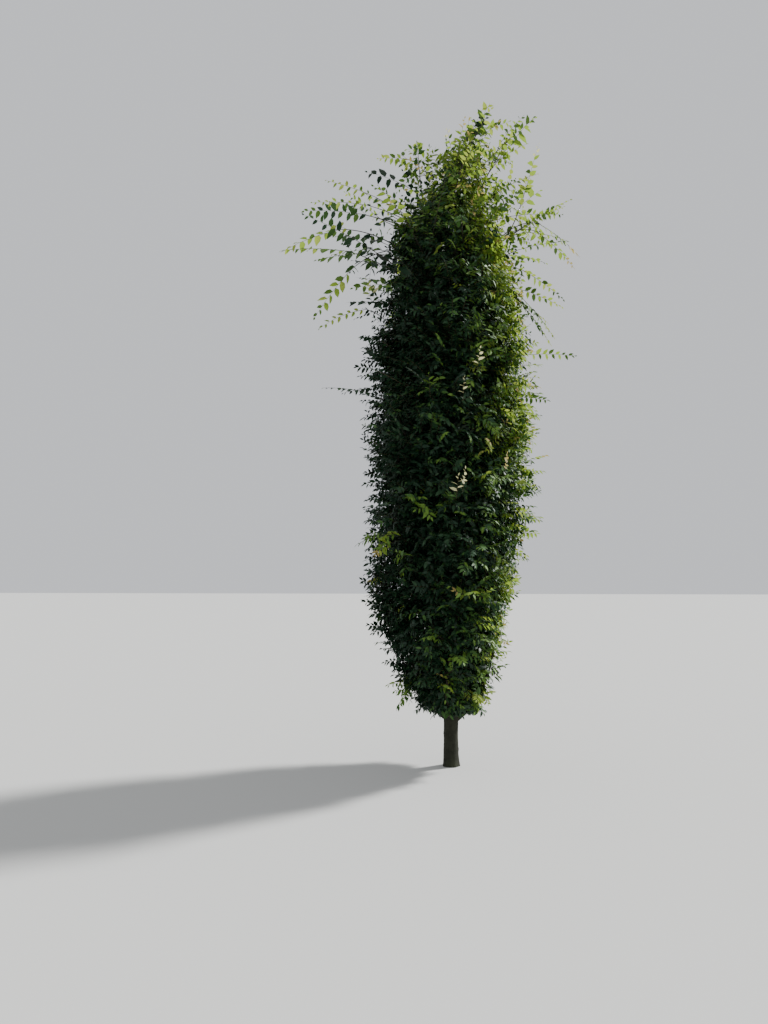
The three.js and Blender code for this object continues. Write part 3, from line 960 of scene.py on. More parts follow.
@dataclass(frozen=True)
class BarkRelief:
    """The ups and downs of smooth young bark, in metres."""

    swell: float = 0.0022
    swells: float = 9.0
    ripple: float = 0.0007
    ripples: float = 75.0
    ripple_stretch: float = 0.3
    ripple_edge: int = 4
    mark: float = 0.0010
    marks: float = 210.0
    mark_stretch: float = 0.25
    mark_from: float = 0.28
    mark_gain: float = 3.0

    def height(self, place: Vector, strength: float) -> float:
        """How far the skin stands out at a place.

        Args:
            place: The place on the limb.
            strength: 1 on the trunk, and less on thinner limbs.

        Returns:
            The height in metres.
        """
        swell = self.swell * noise.noise(place * self.swells)
        drawn_up = Vector((place.x, place.y, place.z * self.ripple_stretch)) * self.ripples
        ripple = -self.ripple * (1 - abs(noise.noise(drawn_up))) ** self.ripple_edge
        flat = Vector((place.x * self.mark_stretch, place.y * self.mark_stretch, place.z)) * self.marks
        mark = self.mark * max(0.0, noise.noise(flat) - self.mark_from) * self.mark_gain
        return strength * (swell + ripple + mark)


@dataclass
class Trunk:
    """The trunk: a flared foot on a flat cut, a clear stem, and a leader inside the crown."""

    radius: float = 0.061
    tip_height: float = 4.52
    tip_radius: float = 0.012
    taper: float = 0.85
    flare_width: float = 0.009
    flare_height: float = 0.075
    buttresses: int = 5
    buttress_share: float = 0.45
    fork_height: float = 0.48
    fork_swelling: float = 0.009
    fork_spread: float = 0.13
    sway_reach: float = 0.014
    sway_wave: float = 0.76
    knots: int = 5
    knot_levels: tuple[float, float] = (0.13, 0.4)
    knot_steps: tuple[float, float] = (0.618, 2.4)
    knot_radius: float = 0.013
    knot_height: float = 0.0045
    knot_dimple: tuple[float, float] = (0.55, 2.6)
    relief_fading: float = 20.0
    sides: int = 56
    rings: int = 420
    crowding: float = 1.7

    def centre(self, z: float) -> np.ndarray:
        """The middle of the trunk at a height.

        Args:
            z: The height.

        Returns:
            The point.
        """
        sway = self.sway_reach * (1 - math.exp(-z / self.sway_wave))
        turn = z / self.sway_wave
        return np.array((sway * math.sin(turn), sway * math.cos(1 + turn) - sway, z))

    def radius_at(self, z: float) -> float:
        """The trunk's radius at a height, without the root flare.

        Args:
            z: The height.

        Returns:
            The radius.
        """
        share = clamp(z / self.tip_height, 0, 1)
        swelling = self.fork_swelling * math.exp(-(((z - self.fork_height) / self.fork_spread) ** 2))
        return mix(self.radius, self.tip_radius, share**self.taper) + swelling

    def _knot(self, z: float, azimuth: float) -> float:
        """How far the healed scars of pruned twigs stand out at a place on the clear stem.

        Args:
            z: The height.
            azimuth: The direction, in radians from +X.

        Returns:
            The distance, below 0 in the middle of a scar.
        """
        height = 0.0
        climb, turn = self.knot_steps
        dimple, narrow = self.knot_dimple
        for index in range(self.knots):
            level = mix(*self.knot_levels, (index * climb) % 1)
            aside = math.remainder(azimuth - index * turn, TURN) * self.radius
            away = math.hypot(aside, z - level) / self.knot_radius
            height += self.knot_height * (math.exp(-(away**2)) - dimple * math.exp(-((narrow * away) ** 2)))
        return height

    def _skin(self, share: float, azimuth: float, outwards: float) -> Vector:
        """Where a corner of the trunk's mesh lies.

        Args:
            share: Its share of the trunk's length.
            azimuth: The direction, in radians from +X.
            outwards: Its distance from the middle as a share of the radius.

        Returns:
            Its place.
        """
        z = self.tip_height * share**self.crowding
        buttress = 1 + self.buttress_share * math.cos(self.buttresses * azimuth)
        radius = self.radius_at(z) + self.flare_width * buttress * math.exp(-z / self.flare_height)
        middle = self.centre(z)
        strength = min(1.0, self.relief_fading * radius)
        relief = BarkRelief().height(Vector(middle + polar(azimuth, radius, 0)), strength)
        return Vector(middle + polar(azimuth, outwards * (radius + relief + self._knot(z, azimuth)), 0))

    def build(self, bark: Material) -> Piece:
        """Models the trunk, dresses it in bark, and returns it."""
        made = limb_object("trunk_bark", self.sides, self.rings, self._skin, bark)
        return tied(made, "trunk_bark", "trunk")


@dataclass
class Bough:
    """The bough that feeds one mass of foliage."""

    mass: Mass
    plan: Plan
    trunk: Trunk
    rank_step: float = 0.1
    bend_out: float = 0.7
    bend_up: float = 0.45
    taper: float = 0.7
    tip_share: float = 0.62
    collar: float = 0.45
    collar_length: float = 0.05
    relief_strength: float = 0.45
    sides: int = 16
    rings: int = 64

    @property
    def tier(self) -> TierPlan:
        """The plan of this bough's tier."""
        return TIERS[self.mass.tier]

    @property
    def tip_radius(self) -> float:
        """The radius of its tip, where the mass's stem goes on."""
        return self.trunk.tip_radius if self.mass.is_leader else self.tip_share * self.tier.bough_radius

    def middle_azimuth(self, z: float) -> float:
        """The azimuth of the middle of the mass at a height."""
        level = FLOORS[self.mass.tier.value].level
        return math.radians(self.mass.azimuth) + self.plan.winding * (z - level)

    def inner_radius(self, z: float) -> float:
        """Distance from the axis at which the mass's own space begins.

        Args:
            z: The height.

        Returns:
            The distance.
        """
        if self.mass.is_leader:
            return 0.0
        hollow = self.plan.hollow(z)
        return max(hollow, self.plan.leader_space(z)) if self.mass.tier is Tier.HEAD else hollow

    def line(self) -> BowedLine:
        """The bough's middle line, from the middle of the trunk to where it enters the mass.

        Returns:
            The line.
        """
        floor = self.mass.tier.value
        level = FLOORS[floor].level
        foot = self.plan.floor(floor, self.plan.hollow(level), self.middle_azimuth(level))
        end_z = foot + self.tier.entry
        azimuth = self.middle_azimuth(end_z)
        end_radius = self.inner_radius(end_z) + 2 * self.plan.clearance
        rise = self.tier.bough_rise * (1 - self.rank_step * self.mass.rank)
        start = self.trunk.centre(end_z - rise)
        bend = self.plan.place(azimuth, self.bend_out * end_radius, end_z - (1 - self.bend_up) * rise)
        return BowedLine(start, bend, self.plan.place(azimuth, end_radius, end_z))

    def build(self, bark: Material) -> Piece:
        """Models the bough with the collar at its foot and dresses it in bark.

        Args:
            bark: The bark's material.

        Returns:
            The piece.
        """
        line, relief = self.line(), BarkRelief()
        shares = np.linspace(0, 1, self.rings + 1)
        points, across = line.points(shares), line.across()
        normals = np.cross(across, line.tangents(shares))
        hidden = self.trunk.radius_at(float(line.start[2]))

        def skin(share: float, angle: float, outwards: float) -> Vector:
            """Where a corner of the bough's mesh lies.

            Args:
                share: Its share of the bough's length.
                angle: Its angle round the middle line.
                outwards: Its distance from the middle as a share of the radius.

            Returns:
                Its place.
            """
            step = round(share * self.rings)
            radius = mix(self.tier.bough_radius, self.tip_radius, share**self.taper)
            bare = max(0.0, share * line.length - hidden)
            radius *= 1 + self.collar * math.exp(-bare / self.collar_length)
            outward = normals[step] * math.cos(angle) + across * math.sin(angle)
            height = relief.height(Vector(points[step] + outward * radius), self.relief_strength)
            return Vector(points[step] + outward * outwards * (radius + height))

        made = limb_object(f"limb_{self.mass.key}", self.sides, self.rings, skin, bark)
        return tied(made, "bough_bark", f"bough_{self.mass.key}")


# Foliage


@dataclass(frozen=True)
class Habit:
    """How a shoot branches and how its leaves stand. Lengths are in metres, angles in radians.

    Side twigs stand `node_spacing` apart over the outer `leafy_run` of a shoot, but for its last
    `plain_tip`, where leaves stand on the shoot itself. Leaves beyond `tip_from` of a twig have the
    tint of its tip. Twigs may stand beyond the clipped column by `margin`, or by the tier's own.
    The values here are a clipped shoot's.
    """

    node_spacing: float = 0.042
    leafy_run: float = 0.34
    plain_tip: float = 0.05
    least_twigs: int = 4
    least_twig: float = 0.06
    twig_slope: float = 0.45
    longest_twig: float = 0.17
    twig_bow: float = 0.05
    twig_steps: int = 1
    roll: float = 1.35
    droop: float = 0.1
    leaf_spacing: float = 0.0145
    leaf_length: float = 0.052
    leaf_width: float = 0.43
    leaf_droop: float = 0.14
    tip_size: float = 0.75
    face_out: float = 0.8
    face_sun: float = 0.2
    face_roll: float = 1.0
    face_tilt: float = 1.3
    tip_from: float = 0.72
    margin: float | None = None
    is_free: bool = False


CLIPPED = Habit()
FREE = Habit(
    node_spacing=0.1,
    leafy_run=0.95,
    plain_tip=0.42,
    least_twigs=2,
    least_twig=0.08,
    twig_slope=0.22,
    longest_twig=0.26,
    twig_bow=0.09,
    twig_steps=3,
    roll=0.9,
    leaf_spacing=0.024,
    leaf_length=0.054,
    leaf_width=0.52,
    leaf_droop=0.22,
    tip_size=0.5,
    face_out=0.35,
    face_sun=0.55,
    face_roll=0.8,
    face_tilt=1.1,
    margin=0.6,
    is_free=True,
)
BOLD = replace(
    FREE,
    node_spacing=0.17,
    least_twigs=1,
    longest_twig=0.2,
    leaf_spacing=0.036,
    leaf_length=0.082,
    leaf_width=0.58,
    tip_size=0.42,
)
THIN = replace(
    FREE, plain_tip=0.3, longest_twig=0.1, leaf_spacing=0.03, leaf_length=0.05, leaf_width=0.5, tip_size=0.6
)
TUFT = replace(CLIPPED, least_twigs=2, longest_twig=0.12, leafy_run=0.15, margin=0.25)
SPRIG = replace(
    FREE, leaf_spacing=0.02, leaf_length=0.056, leaf_width=0.48, leaf_droop=0.1, face_sun=0.4, tip_from=0.25
)


@dataclass(frozen=True)
class Shoot:
    """A shoot that stands out in the photograph.

    It leaves its mass's stem at the share `foot` of the stem's length, bows upwards by `bow` of its
    own length, and ends at `across`, `depth` and `height`. `beside` shoots like it end near it. A
    shoot with the habit of a sprig is clipped, but for a short upright tip.
    """

    across: float
    depth: float
    height: float
    foot: float
    bow: float
    habit: Habit = BOLD
    tint: Tint | None = None
    tip: Tint | None = None
    beside: int = 0


# The set tints of these shoots, and of their tips, are painted shade on some and painted sunlight on others;
# the young, bronze and pale tips are young leaves, the young and pale ones also painted glints of sun.
SEEN_SHOOTS = {
    "shoulder_left": (
        Shoot(-1.47, 0.1, 4.37, 1.0, 0.3, BOLD, tip=Tint.YOUNG_AND_GLINT),
        Shoot(-1.1, -0.15, 4.18, 0.85, 0.1, BOLD),
        Shoot(-0.98, -0.05, 4.27, 0.9, 0.12, BOLD, Tint.HALF_LIT),
        Shoot(-0.95, 0.0, 4.46, 0.95, 0.1, BOLD, Tint.SHADE),
        Shoot(-1.12, -0.1, 3.7, 1.0, 0.34, BOLD, tip=Tint.HALF_LIT),
    ),
    "head_left": (
        Shoot(-1.3, 0.3, 4.85, 0.0, 0.08, BOLD, Tint.MID, tip=Tint.HALF_LIT),
        Shoot(-0.91, 0.2, 4.95, 0.1, -0.25, THIN),
        Shoot(-0.77, 0.2, 4.97, 0.15, -0.25, THIN),
        Shoot(-0.68, 0.0, 5.03, 0.5, 0.05, BOLD, Tint.DEEP),
        Shoot(-0.58, 0.0, 5.17, 0.9, 0.06, FREE, tip=Tint.YOUNG_AND_GLINT),
        Shoot(-0.43, -0.05, 5.06, 0.9, 0.06, FREE, Tint.HALF_LIT),
        Shoot(-0.26, 0.1, 5.36, 1.0, 0.0, THIN, tip=Tint.YOUNG_AND_GLINT),
    ),
    "flank_left": (
        Shoot(-1.05, -0.25, 3.55, 1.0, 0.5, THIN, tip=Tint.YOUNG_AND_GLINT),
        Shoot(-0.86, -0.2, 3.02, 0.5, 0.1, FREE),
    ),
    "shoulder_left_front": (
        Shoot(-0.57, -0.38, 3.69, 0.3, 0.05, SPRIG, tip=Tint.PALE),
        Shoot(-0.6, -0.42, 3.7, 0.3, 0.05, SPRIG, tip=Tint.YOUNG_AND_GLINT),
    ),
    "head_leader": (
        Shoot(0.01, 0.1, 5.43, 0.5, -0.1, THIN, tip=Tint.PALE),
        Shoot(0.0, -0.05, 5.26, 0.3, 0.0, FREE),
        Shoot(0.11, 0.05, 5.32, 0.4, 0.0, FREE, tip=Tint.YOUNG_AND_GLINT),
        Shoot(0.2, -0.1, 5.3, 0.5, 0.0, FREE),
        Shoot(0.2, 0.05, 5.5, 0.7, -0.1, THIN, tip=Tint.BRONZE),
        Shoot(0.33, 0.05, 5.6, 0.5, 0.0, BOLD, tip=Tint.YOUNG_AND_GLINT, beside=1),
        Shoot(0.44, 0.0, 5.42, 0.6, 0.0, BOLD),
        Shoot(0.56, 0.1, 5.5, 0.85, 0.0, FREE, tip=Tint.YOUNG_AND_GLINT),
    ),
    "head_right": (
        Shoot(0.76, 0.15, 5.53, 0.6, 0.0, BOLD, tip=Tint.HALF_LIT),
        Shoot(0.66, 0.1, 5.3, 0.7, 0.0, THIN),
        Shoot(0.51, -0.2, 4.74, 0.2, -0.1, SPRIG, tip=Tint.YOUNG_AND_GLINT),
        Shoot(0.65, 0.0, 4.74, 0.2, -0.1, SPRIG, tip=Tint.YOUNG_AND_GLINT),
    ),
    "shoulder_right": (
        Shoot(0.8, 0.1, 5.25, 1.0, -0.42, BOLD, tip=Tint.PALE),
        Shoot(1.07, 0.2, 4.79, 1.0, 0.0, FREE, tip=Tint.YOUNG_AND_GLINT, beside=1),
        Shoot(1.04, -0.1, 4.05, 1.0, 0.6, FREE, tip=Tint.BRONZE, beside=1),
        Shoot(1.04, 0.1, 4.37, 1.0, 0.25, THIN, tip=Tint.YOUNG_AND_GLINT),
        Shoot(0.98, 0.1, 3.86, 0.7, 0.25, FREE, tip=Tint.HALF_LIT),
        Shoot(0.95, 0.0, 3.76, 0.4, 0.15, FREE, tip=Tint.YOUNG_AND_GLINT),
        Shoot(0.83, 0.0, 3.63, 0.3, 0.3, FREE, tip=Tint.YOUNG_AND_GLINT),
        Shoot(0.73, 0.1, 4.1, 0.6, 0.15, FREE),
        Shoot(0.83, -0.2, 3.37, 0.35, 0.45, FREE, Tint.HALF_LIT, tip=Tint.YOUNG_AND_GLINT, beside=1),
    ),
    "flank_right": (
        Shoot(1.05, 0.0, 3.34, 0.8, 0.06, FREE, tip=Tint.HALF_LIT),
        Shoot(0.73, -0.1, 3.15, 0.5, 0.1, THIN),
    ),
    "shoulder_right_front": (
        Shoot(0.1, -1.08, 4.05, 0.7, 0.16, FREE),
        Shoot(0.5, -0.9, 4.4, 0.9, 0.1, FREE),
    ),
    "shoulder_right_back": (
        Shoot(0.5, 0.85, 4.4, 0.8, 0.12, FREE, beside=1),
    ),
    "shoulder_left_back": (
        Shoot(-0.15, 0.95, 4.15, 0.8, 0.14, FREE, tip=Tint.BRONZE, beside=1),
        Shoot(-0.6, 0.8, 3.9, 0.6, 0.2, FREE),
    ),
    "flank_front": (
        Shoot(0.22, -0.66, 3.04, 0.4, 0.1, SPRIG, tip=Tint.PALE),
        Shoot(0.11, -0.7, 2.81, 0.2, 0.1, SPRIG, tip=Tint.PALE),
        Shoot(-0.13, -0.7, 2.84, 0.2, 0.1, SPRIG, tip=Tint.HALF_LIT),
    ),
    "waist_front_left": (
        Shoot(0.1, -0.77, 2.12, 0.5, 0.1, SPRIG, tip=Tint.PALE),
        Shoot(-0.7, -0.48, 1.76, 0.3, 0.15, TUFT, Tint.HALF_LIT, beside=1),
        Shoot(-0.52, -0.62, 1.79, 0.3, 0.15, TUFT, Tint.SUNLIT, beside=1),
        Shoot(-0.4, -0.68, 1.64, 0.1, 0.1, TUFT, Tint.HALF_LIT),
        Shoot(-0.17, -0.77, 2.0, 0.5, 0.1, TUFT, Tint.HALF_LIT),
        Shoot(-0.28, -0.74, 2.09, 0.5, 0.1, TUFT, Tint.HALF_LIT),
        Shoot(0.055, -0.78, 2.07, 0.4, 0.1, SPRIG, tip=Tint.PALE),
    ),
    "waist_front_right": (
        Shoot(0.41, -0.68, 2.24, 0.7, 0.1, SPRIG, tip=Tint.BRONZE),
        Shoot(0.3, -0.74, 2.5, 0.9, 0.1, TUFT, Tint.YOUNG_AND_GLINT),
        Shoot(0.28, -0.74, 2.26, 0.7, 0.1, TUFT, Tint.SUNLIT),
    ),
    "skirt_front": (
        Shoot(0.18, -0.74, 1.4, 0.9, 0.1, TUFT, Tint.SUNLIT),
        Shoot(-0.2, -0.62, 1.06, 0.6, 0.1, TUFT, Tint.HALF_LIT),
        Shoot(0.1, -0.6, 0.89, 0.5, 0.1, TUFT, Tint.HALF_LIT),
        Shoot(0.0, -0.48, 0.7, 0.2, 0.1, TUFT, Tint.SUNLIT),
        Shoot(-0.15, -0.3, 0.45, 0.0, 0.1, TUFT, Tint.SHADE),
        Shoot(0.02, -0.3, 0.47, 0.0, 0.1, TUFT, Tint.MID),
        Shoot(0.16, -0.3, 0.48, 0.0, 0.1, TUFT, Tint.SHADE),
    ),
    "skirt_right": (
        Shoot(0.2, -0.36, 0.58, 0.1, 0.1, TUFT, Tint.YOUNG_AND_GLINT),
        Shoot(0.29, -0.25, 0.54, 0.1, 0.1, TUFT, Tint.YOUNG_AND_GLINT),
        Shoot(0.17, -0.15, 0.46, 0.0, 0.05, TUFT, Tint.SHADE),
        Shoot(0.46, 0.04, 1.0, 0.45, 0.1, TUFT),
        Shoot(0.43, 0.0, 0.84, 0.3, 0.1, TUFT),
        Shoot(0.28, -0.1, 0.47, 0.0, 0.1, TUFT, Tint.MID, beside=1),
    ),
    "skirt_left": (
        Shoot(-0.5, -0.1, 0.65, 0.2, 0.05, TUFT, Tint.SUNLIT),
        Shoot(-0.44, -0.15, 0.61, 0.15, 0.05, TUFT, Tint.HALF_LIT),
        Shoot(-0.36, -0.22, 0.57, 0.2, 0.1, TUFT, Tint.HALF_LIT, beside=1),
        Shoot(-0.3, -0.1, 0.44, 0.0, 0.1, TUFT, Tint.SHADE, beside=1),
    ),
}


@dataclass(frozen=True)
class Sunlight:
    """Where painted sunlight and painted shade fall on the crown, and where it is young, which sets the tint
    of each spray.
    """

    azimuth: float = 0.12
    side: tuple[float, float] = (0.38, 0.66)
    side_from: float = 1.8
    side_to: float = 3.0
    far_side: float = 0.2
    depth: float = 0.75
    depth_from: float = 0.75
    free_side: float = 0.16
    free_depth: float = 0.85
    free_from: float = 0.45
    front_shade: float = 0.45
    head_from: float = 3.65
    head_to: float = 5.2
    head: float = 0.65
    spread: float = 0.55
    leaf_azimuth: float = 0.95
    steps: tuple[float, float, float, float] = (0.03, 0.19, 0.31, 0.43)
    young_free: float = 0.1
    young_and_glint_clipped: float = 0.015
    bronze_tips: float = 0.15
    duller: float = 0.24
    brighter: float = 0.16

    def tint(self, place: np.ndarray, outerness: float, is_free: bool, draw: float) -> Tint:
        """The tint of a spray, as painted sunlight and painted shade: brighter towards the sun, near the
        outline and high in the head; darker deep inside, on the far side and, for free shoots, in front.

        Args:
            place: Where the spray stands.
            outerness: Its distance from the axis, as a share of the outline's.
            is_free: Whether it is on a free shoot.
            draw: A number from 0 to 1 that sets it apart from its neighbours.

        Returns:
            The tint.
        """
        around = math.atan2(place[1], place[0])
        facing = math.cos(around - self.azimuth) * clamp(outerness, 0, 1)
        high = clamp((place[2] - self.head_from) / (self.head_to - self.head_from), 0, 1)
        # Painted sunlight high in the head; the draw spreads neighbouring sprays apart.
        bright = self.head * high + self.spread * (draw - 0.5)
        if is_free:
            # Painted sunlight towards the sun and outwards, painted shade deep inside and in front.
            bright += self.free_side * facing + self.free_depth * (outerness - self.free_from)
            bright -= self.front_shade * max(0.0, -math.sin(around)) * (1 - high)
        else:
            # Painted sunlight on the side towards the sun, painted shade on the far side and deep inside.
            up = clamp((place[2] - self.side_from) / (self.side_to - self.side_from), 0, 1)
            side = mix(*self.side, up) if facing > 0 else self.far_side
            bright += side * facing + self.depth * (min(outerness, 1.0) - self.depth_from)
        return Tint(sum(bright > step for step in self.steps))

    def leaf_tints(self, spray: Tint, draws: np.ndarray) -> np.ndarray:
        """The numbers of the tints of a spray's leaves, some of them a step duller or brighter.

        Args:
            spray: The spray's own tint.
            draws: A number from 0 to 1 for each leaf.

        Returns:
            The number of each leaf's tint.
        """
        least, most = Tint.DEEP.value, Tint.HALF_LIT.value
        # Sunlit sprays step up to the young tint, which also paints glints of sun.
        if spray.value > most:
            least, most = Tint.MID.value, Tint.YOUNG_AND_GLINT.value
        steps = (draws > 1 - self.brighter).astype(int) - (draws < self.duller).astype(int)
        return np.clip(spray.value + steps, least, most)


@dataclass
class Foliage:
    """One mass of foliage: its stem, the shoots on it, and their side twigs and leaves.

    The pairs `tip_spray`, `shoot_rings` and `shoot_sides` hold a clipped shoot's number, then that
    of one that stands free of the clipped column.
    """

    mass: Mass
    plan: Plan
    bough: Bough
    light: Sunlight = Sunlight()
    stem_outward: float = 0.5
    stem_bow: float = 0.45
    stem_below: float = 0.12
    stem_tip_radius: float = 0.003
    stem_rings: int = 14
    stem_sides: int = 8
    stem_sprays: tuple[float, float, int] = (0.15, 0.95, 14)
    stem_end: float = 0.1
    head_stem: tuple[float, float, float] = (0.42, 5.0, 0.2)
    leader_stem: tuple[float, float, float] = (0.2, 0.5, 0.16)
    leader_twig: tuple[float, float] = (0.5, 0.3)
    leader_shoots: int = 13
    spire_foot: float = 4.6
    spire_slimness: float = 0.6
    shoot_spread: float = 0.88
    fill_spread: float = 1.06
    end_rounds: int = 4
    shoot_bow: float = 0.14
    bow_scatter: tuple[float, float] = (0.3, 1.7)
    shoot_radii: tuple[float, float] = (0.0014, 0.0042)
    shoot_rings: tuple[int, int] = (5, 8)
    shoot_sides: tuple[int, int] = (3, 4)
    on_stem: tuple[float, float, int, float] = (0.05, 0.03, 8, 0.6)
    stray_reach: float = 1.45
    past_column: float = 1.2
    first_ends: tuple[float, float] = (0.3, 0.25)
    nearest: tuple[float, float] = (0.05, 0.6)
    tip_spray: tuple[float, float] = (0.09, 0.17)
    spray_tries: tuple[float, float, float] = (1.0, 0.6, 0.2)
    tip_droop: float = 0.22
    tip_foot: float = 0.6
    tip_key: int = 97
    plain_share: float = 0.4
    leafy_share: float = 0.85
    first_node: float = 0.3
    beside_spread: float = 0.22
    seen_rounds: int = 2
    seen_key: int = 1000
    seen_step: int = 10
    bold_side: float = -0.25
    bold_from: float = 0.55
    free_outline: float = 1.35
    least_outline: float = 0.1
    sprig_height: float = 0.17
    sprig_forward: float = 0.3
    swing: tuple[float, float] = (0.75, 1.15)
    twig_sizes: tuple[float, float] = (0.65, 1.2)
    twig_radii: tuple[float, float, float] = (0.0008, 0.0035, 0.0007)
    twig_middle: float = 0.6
    twig_sides: int = 3
    bare_foot: float = 0.08
    leaf_opening: tuple[float, float, float, float] = (1.05, 0.5, 0.4, 0.15)
    leaf_swell: tuple[float, float, float] = (0.82, 0.33, 0.8)
    leaf_sizes: tuple[float, float] = (0.75, 1.25)
    stray_margin: float = 0.14
    stray_share: float = 0.08
    free_margin: float = 0.6
    over_box: tuple[float, float, float] = (0.02, 0.02, 0.09)

    def __post_init__(self) -> None:
        """Starts with no leaves and no twigs."""
        self.leaves: dict[Tint, Leaves] = {tint: Leaves(tint in FLAT_TINTS) for tint in Tint}
        self.twigs = Twigs()
        self.draws = np.random.default_rng(self.mass.seed)

    @property
    def tier(self) -> TierPlan:
        """The plan of this mass's tier."""
        return TIERS[self.mass.tier]

    def _chance(self, *keys: int) -> float:
        """This mass's own repeatable number for a row of keys."""
        return chance(self.mass.seed, *keys)

    def stem(self) -> BowedLine:
        """The stem that carries the shoots, from the bough's tip or the trunk's.

        Returns:
            Its line.
        """
        if self.mass.is_leader:
            outward, bow, below = self.leader_stem
            foot = self.bough.trunk.centre(self.bough.trunk.tip_height) + UP * self.plan.seam
            radius = outward * self.plan.leader_space(self.plan.tree_height)
            azimuth = self.bough.middle_azimuth(FLOORS["sky"].level)
            tip = self.plan.place(azimuth, radius, self.plan.tree_height - below)
            return BowedLine(foot, foot + UP * bow * (tip[2] - foot[2]), tip)
        line = self.bough.line()
        along = line.tangents(1.0)
        foot = line.end + along * self.plan.seam
        ceiling = self.tier.ceiling
        azimuth = self.bough.middle_azimuth(FLOORS[ceiling].level)
        if self.mass.tier is Tier.HEAD:
            outward, level, below = self.head_stem
            radius = outward * float(self.plan.dome(level, azimuth))
        else:
            radius, below = self.stem_outward * self.plan.column_radius, self.stem_below
        tip_z = self.plan.floor(ceiling, radius, azimuth) - below
        bend = foot + along * self.stem_bow * (tip_z - foot[2])
        return BowedLine(foot, bend, self.plan.place(self.bough.middle_azimuth(tip_z), radius, tip_z))

    def _reach(self, index: int, z: float, azimuth: float) -> tuple[float, bool]:
        """How far from the axis a shoot and its end spray reach at a height.

        Args:
            index: The shoot's number.
            z: The height.
            azimuth: The direction, in radians from +X.

        Returns:
            The distance, and whether the shoot stands free of the clipped column.
        """
        tier, first = self.tier, index < self.tier.first_shoots
        column, dome = float(self.plan.column(z, azimuth)), float(self.plan.dome(z, azimuth))
        stray = self._chance(index, Draw.STRAY_SHOOT) < (tier.free if first else tier.free_share)
        draw = self._chance(index, Draw.REACH) ** tier.crowding
        if self.mass.is_leader:
            return mix(*tier.free_reach, draw) * self.plan.leader_space(z), True
        if first and stray and tier.free < 1:
            return column * self.stray_reach, True
        if first:
            share = 1.0 if index == 0 else mix(*tier.reach, draw)
            return share * (dome if stray else column), stray
        if stray:
            return mix(*tier.free_reach, draw) * max(dome, self.past_column * column), True
        return mix(*tier.fill, draw) * column, False

    def _shoot_end(self, index: int) -> tuple[np.ndarray, bool]:
        """Where a shoot ends, and whether it is long enough to stand free of the clipped column.

        Args:
            index: The shoot's number.

        Returns:
            The point, and whether the shoot stands free.
        """
        across, upwards = evenly(index, self._chance(Draw.START))
        tier, name = self.tier, self.mass.tier.value
        first = index < tier.first_shoots
        spread = self.shoot_spread if first else self.fill_spread
        ends = self.first_ends if first else tier.fill_ends
        over_floor, under_ceiling = (end * tier.spray_length for end in ends)
        sideways = (2 * across - 1) * spread * math.radians(self.mass.half_angle) if index else 0.0
        azimuth = self.bough.middle_azimuth(FLOORS[name].level)
        longest = index == 0 and tier.free == 1
        z, reach, is_free = 0.0, 0.0, False
        for _ in range(self.end_rounds):
            low = self.plan.floor(name, reach, azimuth) + over_floor
            ceiling = min(self.plan.floor(tier.ceiling, reach, azimuth), self.plan.tree_height)
            high = ceiling - under_ceiling
            z = clamp(self.plan.left_height, low, high) if longest else mix(low, high, upwards)
            azimuth = self.bough.middle_azimuth(z) + sideways
            reach, is_free = self._reach(index, z, azimuth)
        if self.mass.is_leader:
            rise = clamp((z - self.spire_foot) / (self.plan.tree_height - self.spire_foot), 0, 1)
            around = (1 - self.spire_slimness * rise) * self.leader_twig[0] * reach
            return self.plan.place(azimuth, around, z), True
        gap, most = self.nearest
        least = min(self.bough.inner_radius(z) + gap, most * reach)
        return self.plan.place(azimuth, max(reach - self.tip_spray[is_free], least), z), is_free

    def _shoot(self, tip: np.ndarray, stem: BowedLine, index: int) -> BowedLine:
        """The line of a shoot from the stem to its end.

        Args:
            tip: Its end.
            stem: The mass's stem.
            index: Its number, which sets the lowest place on the stem that it may leave from.

        Returns:
            Its line.
        """
        first, step, steps, span = self.on_stem
        run = max(0.0, math.hypot(tip[0], tip[1]) - self.plan.hollow_foot)
        climb = self.leader_twig[1] if self.mass.is_leader else self.tier.ascent * run
        lowest, foot_z = first + step * (index % steps), tip[2] - climb
        share = clamp((foot_z - stem.start[2]) / (stem.end[2] - stem.start[2]), lowest, lowest + span)
        bow = self.shoot_bow * mix(*self.bow_scatter, self._chance(index, Draw.BOW))
        return arch(stem.points(share), tip, bow)

    def _outerness(self, place: np.ndarray, is_free: bool) -> float:
        """A place's distance from the axis as a share of the outline's.

        Args:
            place: The place.
            is_free: Whether the outline is that of the free shoots.

        Returns:
            The share.
        """
        radius, azimuth = self.plan.around(place)
        outline = float(self.plan.column(place[2], azimuth))
        if is_free:
            outline = max(self.free_outline * outline, float(self.plan.dome(place[2], azimuth)))
        return float(radius) / max(self.least_outline, outline)

    def _keeps(self, places: np.ndarray, margin: float) -> np.ndarray:
        """Which of a row of places lie where shears and weather let the crown grow.

        Args:
            places: The places.
            margin: How far beyond the clipped column they may lie.

        Returns:
            True for each place that does.
        """
        low, high = (np.array(corner) for corner in CAD_BOX)
        over = np.array(self.over_box)
        inside = np.all((places > low - over) & (places < high + over), axis=1)
        radius, azimuth = self.plan.around(places)
        inside &= places[:, 2] > self.plan.hem(azimuth)
        if self.tier.free < 1:
            inside &= radius < self.plan.column(places[:, 2], azimuth) + margin
        return inside

    def _face(self, place: np.ndarray, forward: np.ndarray, roll: float, habit: Habit) -> np.ndarray:
        """The way that leaves turn their upper sides: up, outwards and to the sun, rolled a little.

        Args:
            place: Where they stand.
            forward: The way that their twig grows.
            roll: How far they are rolled about it, in radians.
            habit: How they stand.

        Returns:
            The direction, at length 1.
        """
        outward = unit(np.array((place[0], place[1], 0.0)))
        sunward = polar(self.light.leaf_azimuth, habit.face_sun, 0)
        return unit(turned(habit.face_out * outward + sunward + UP, forward, roll))

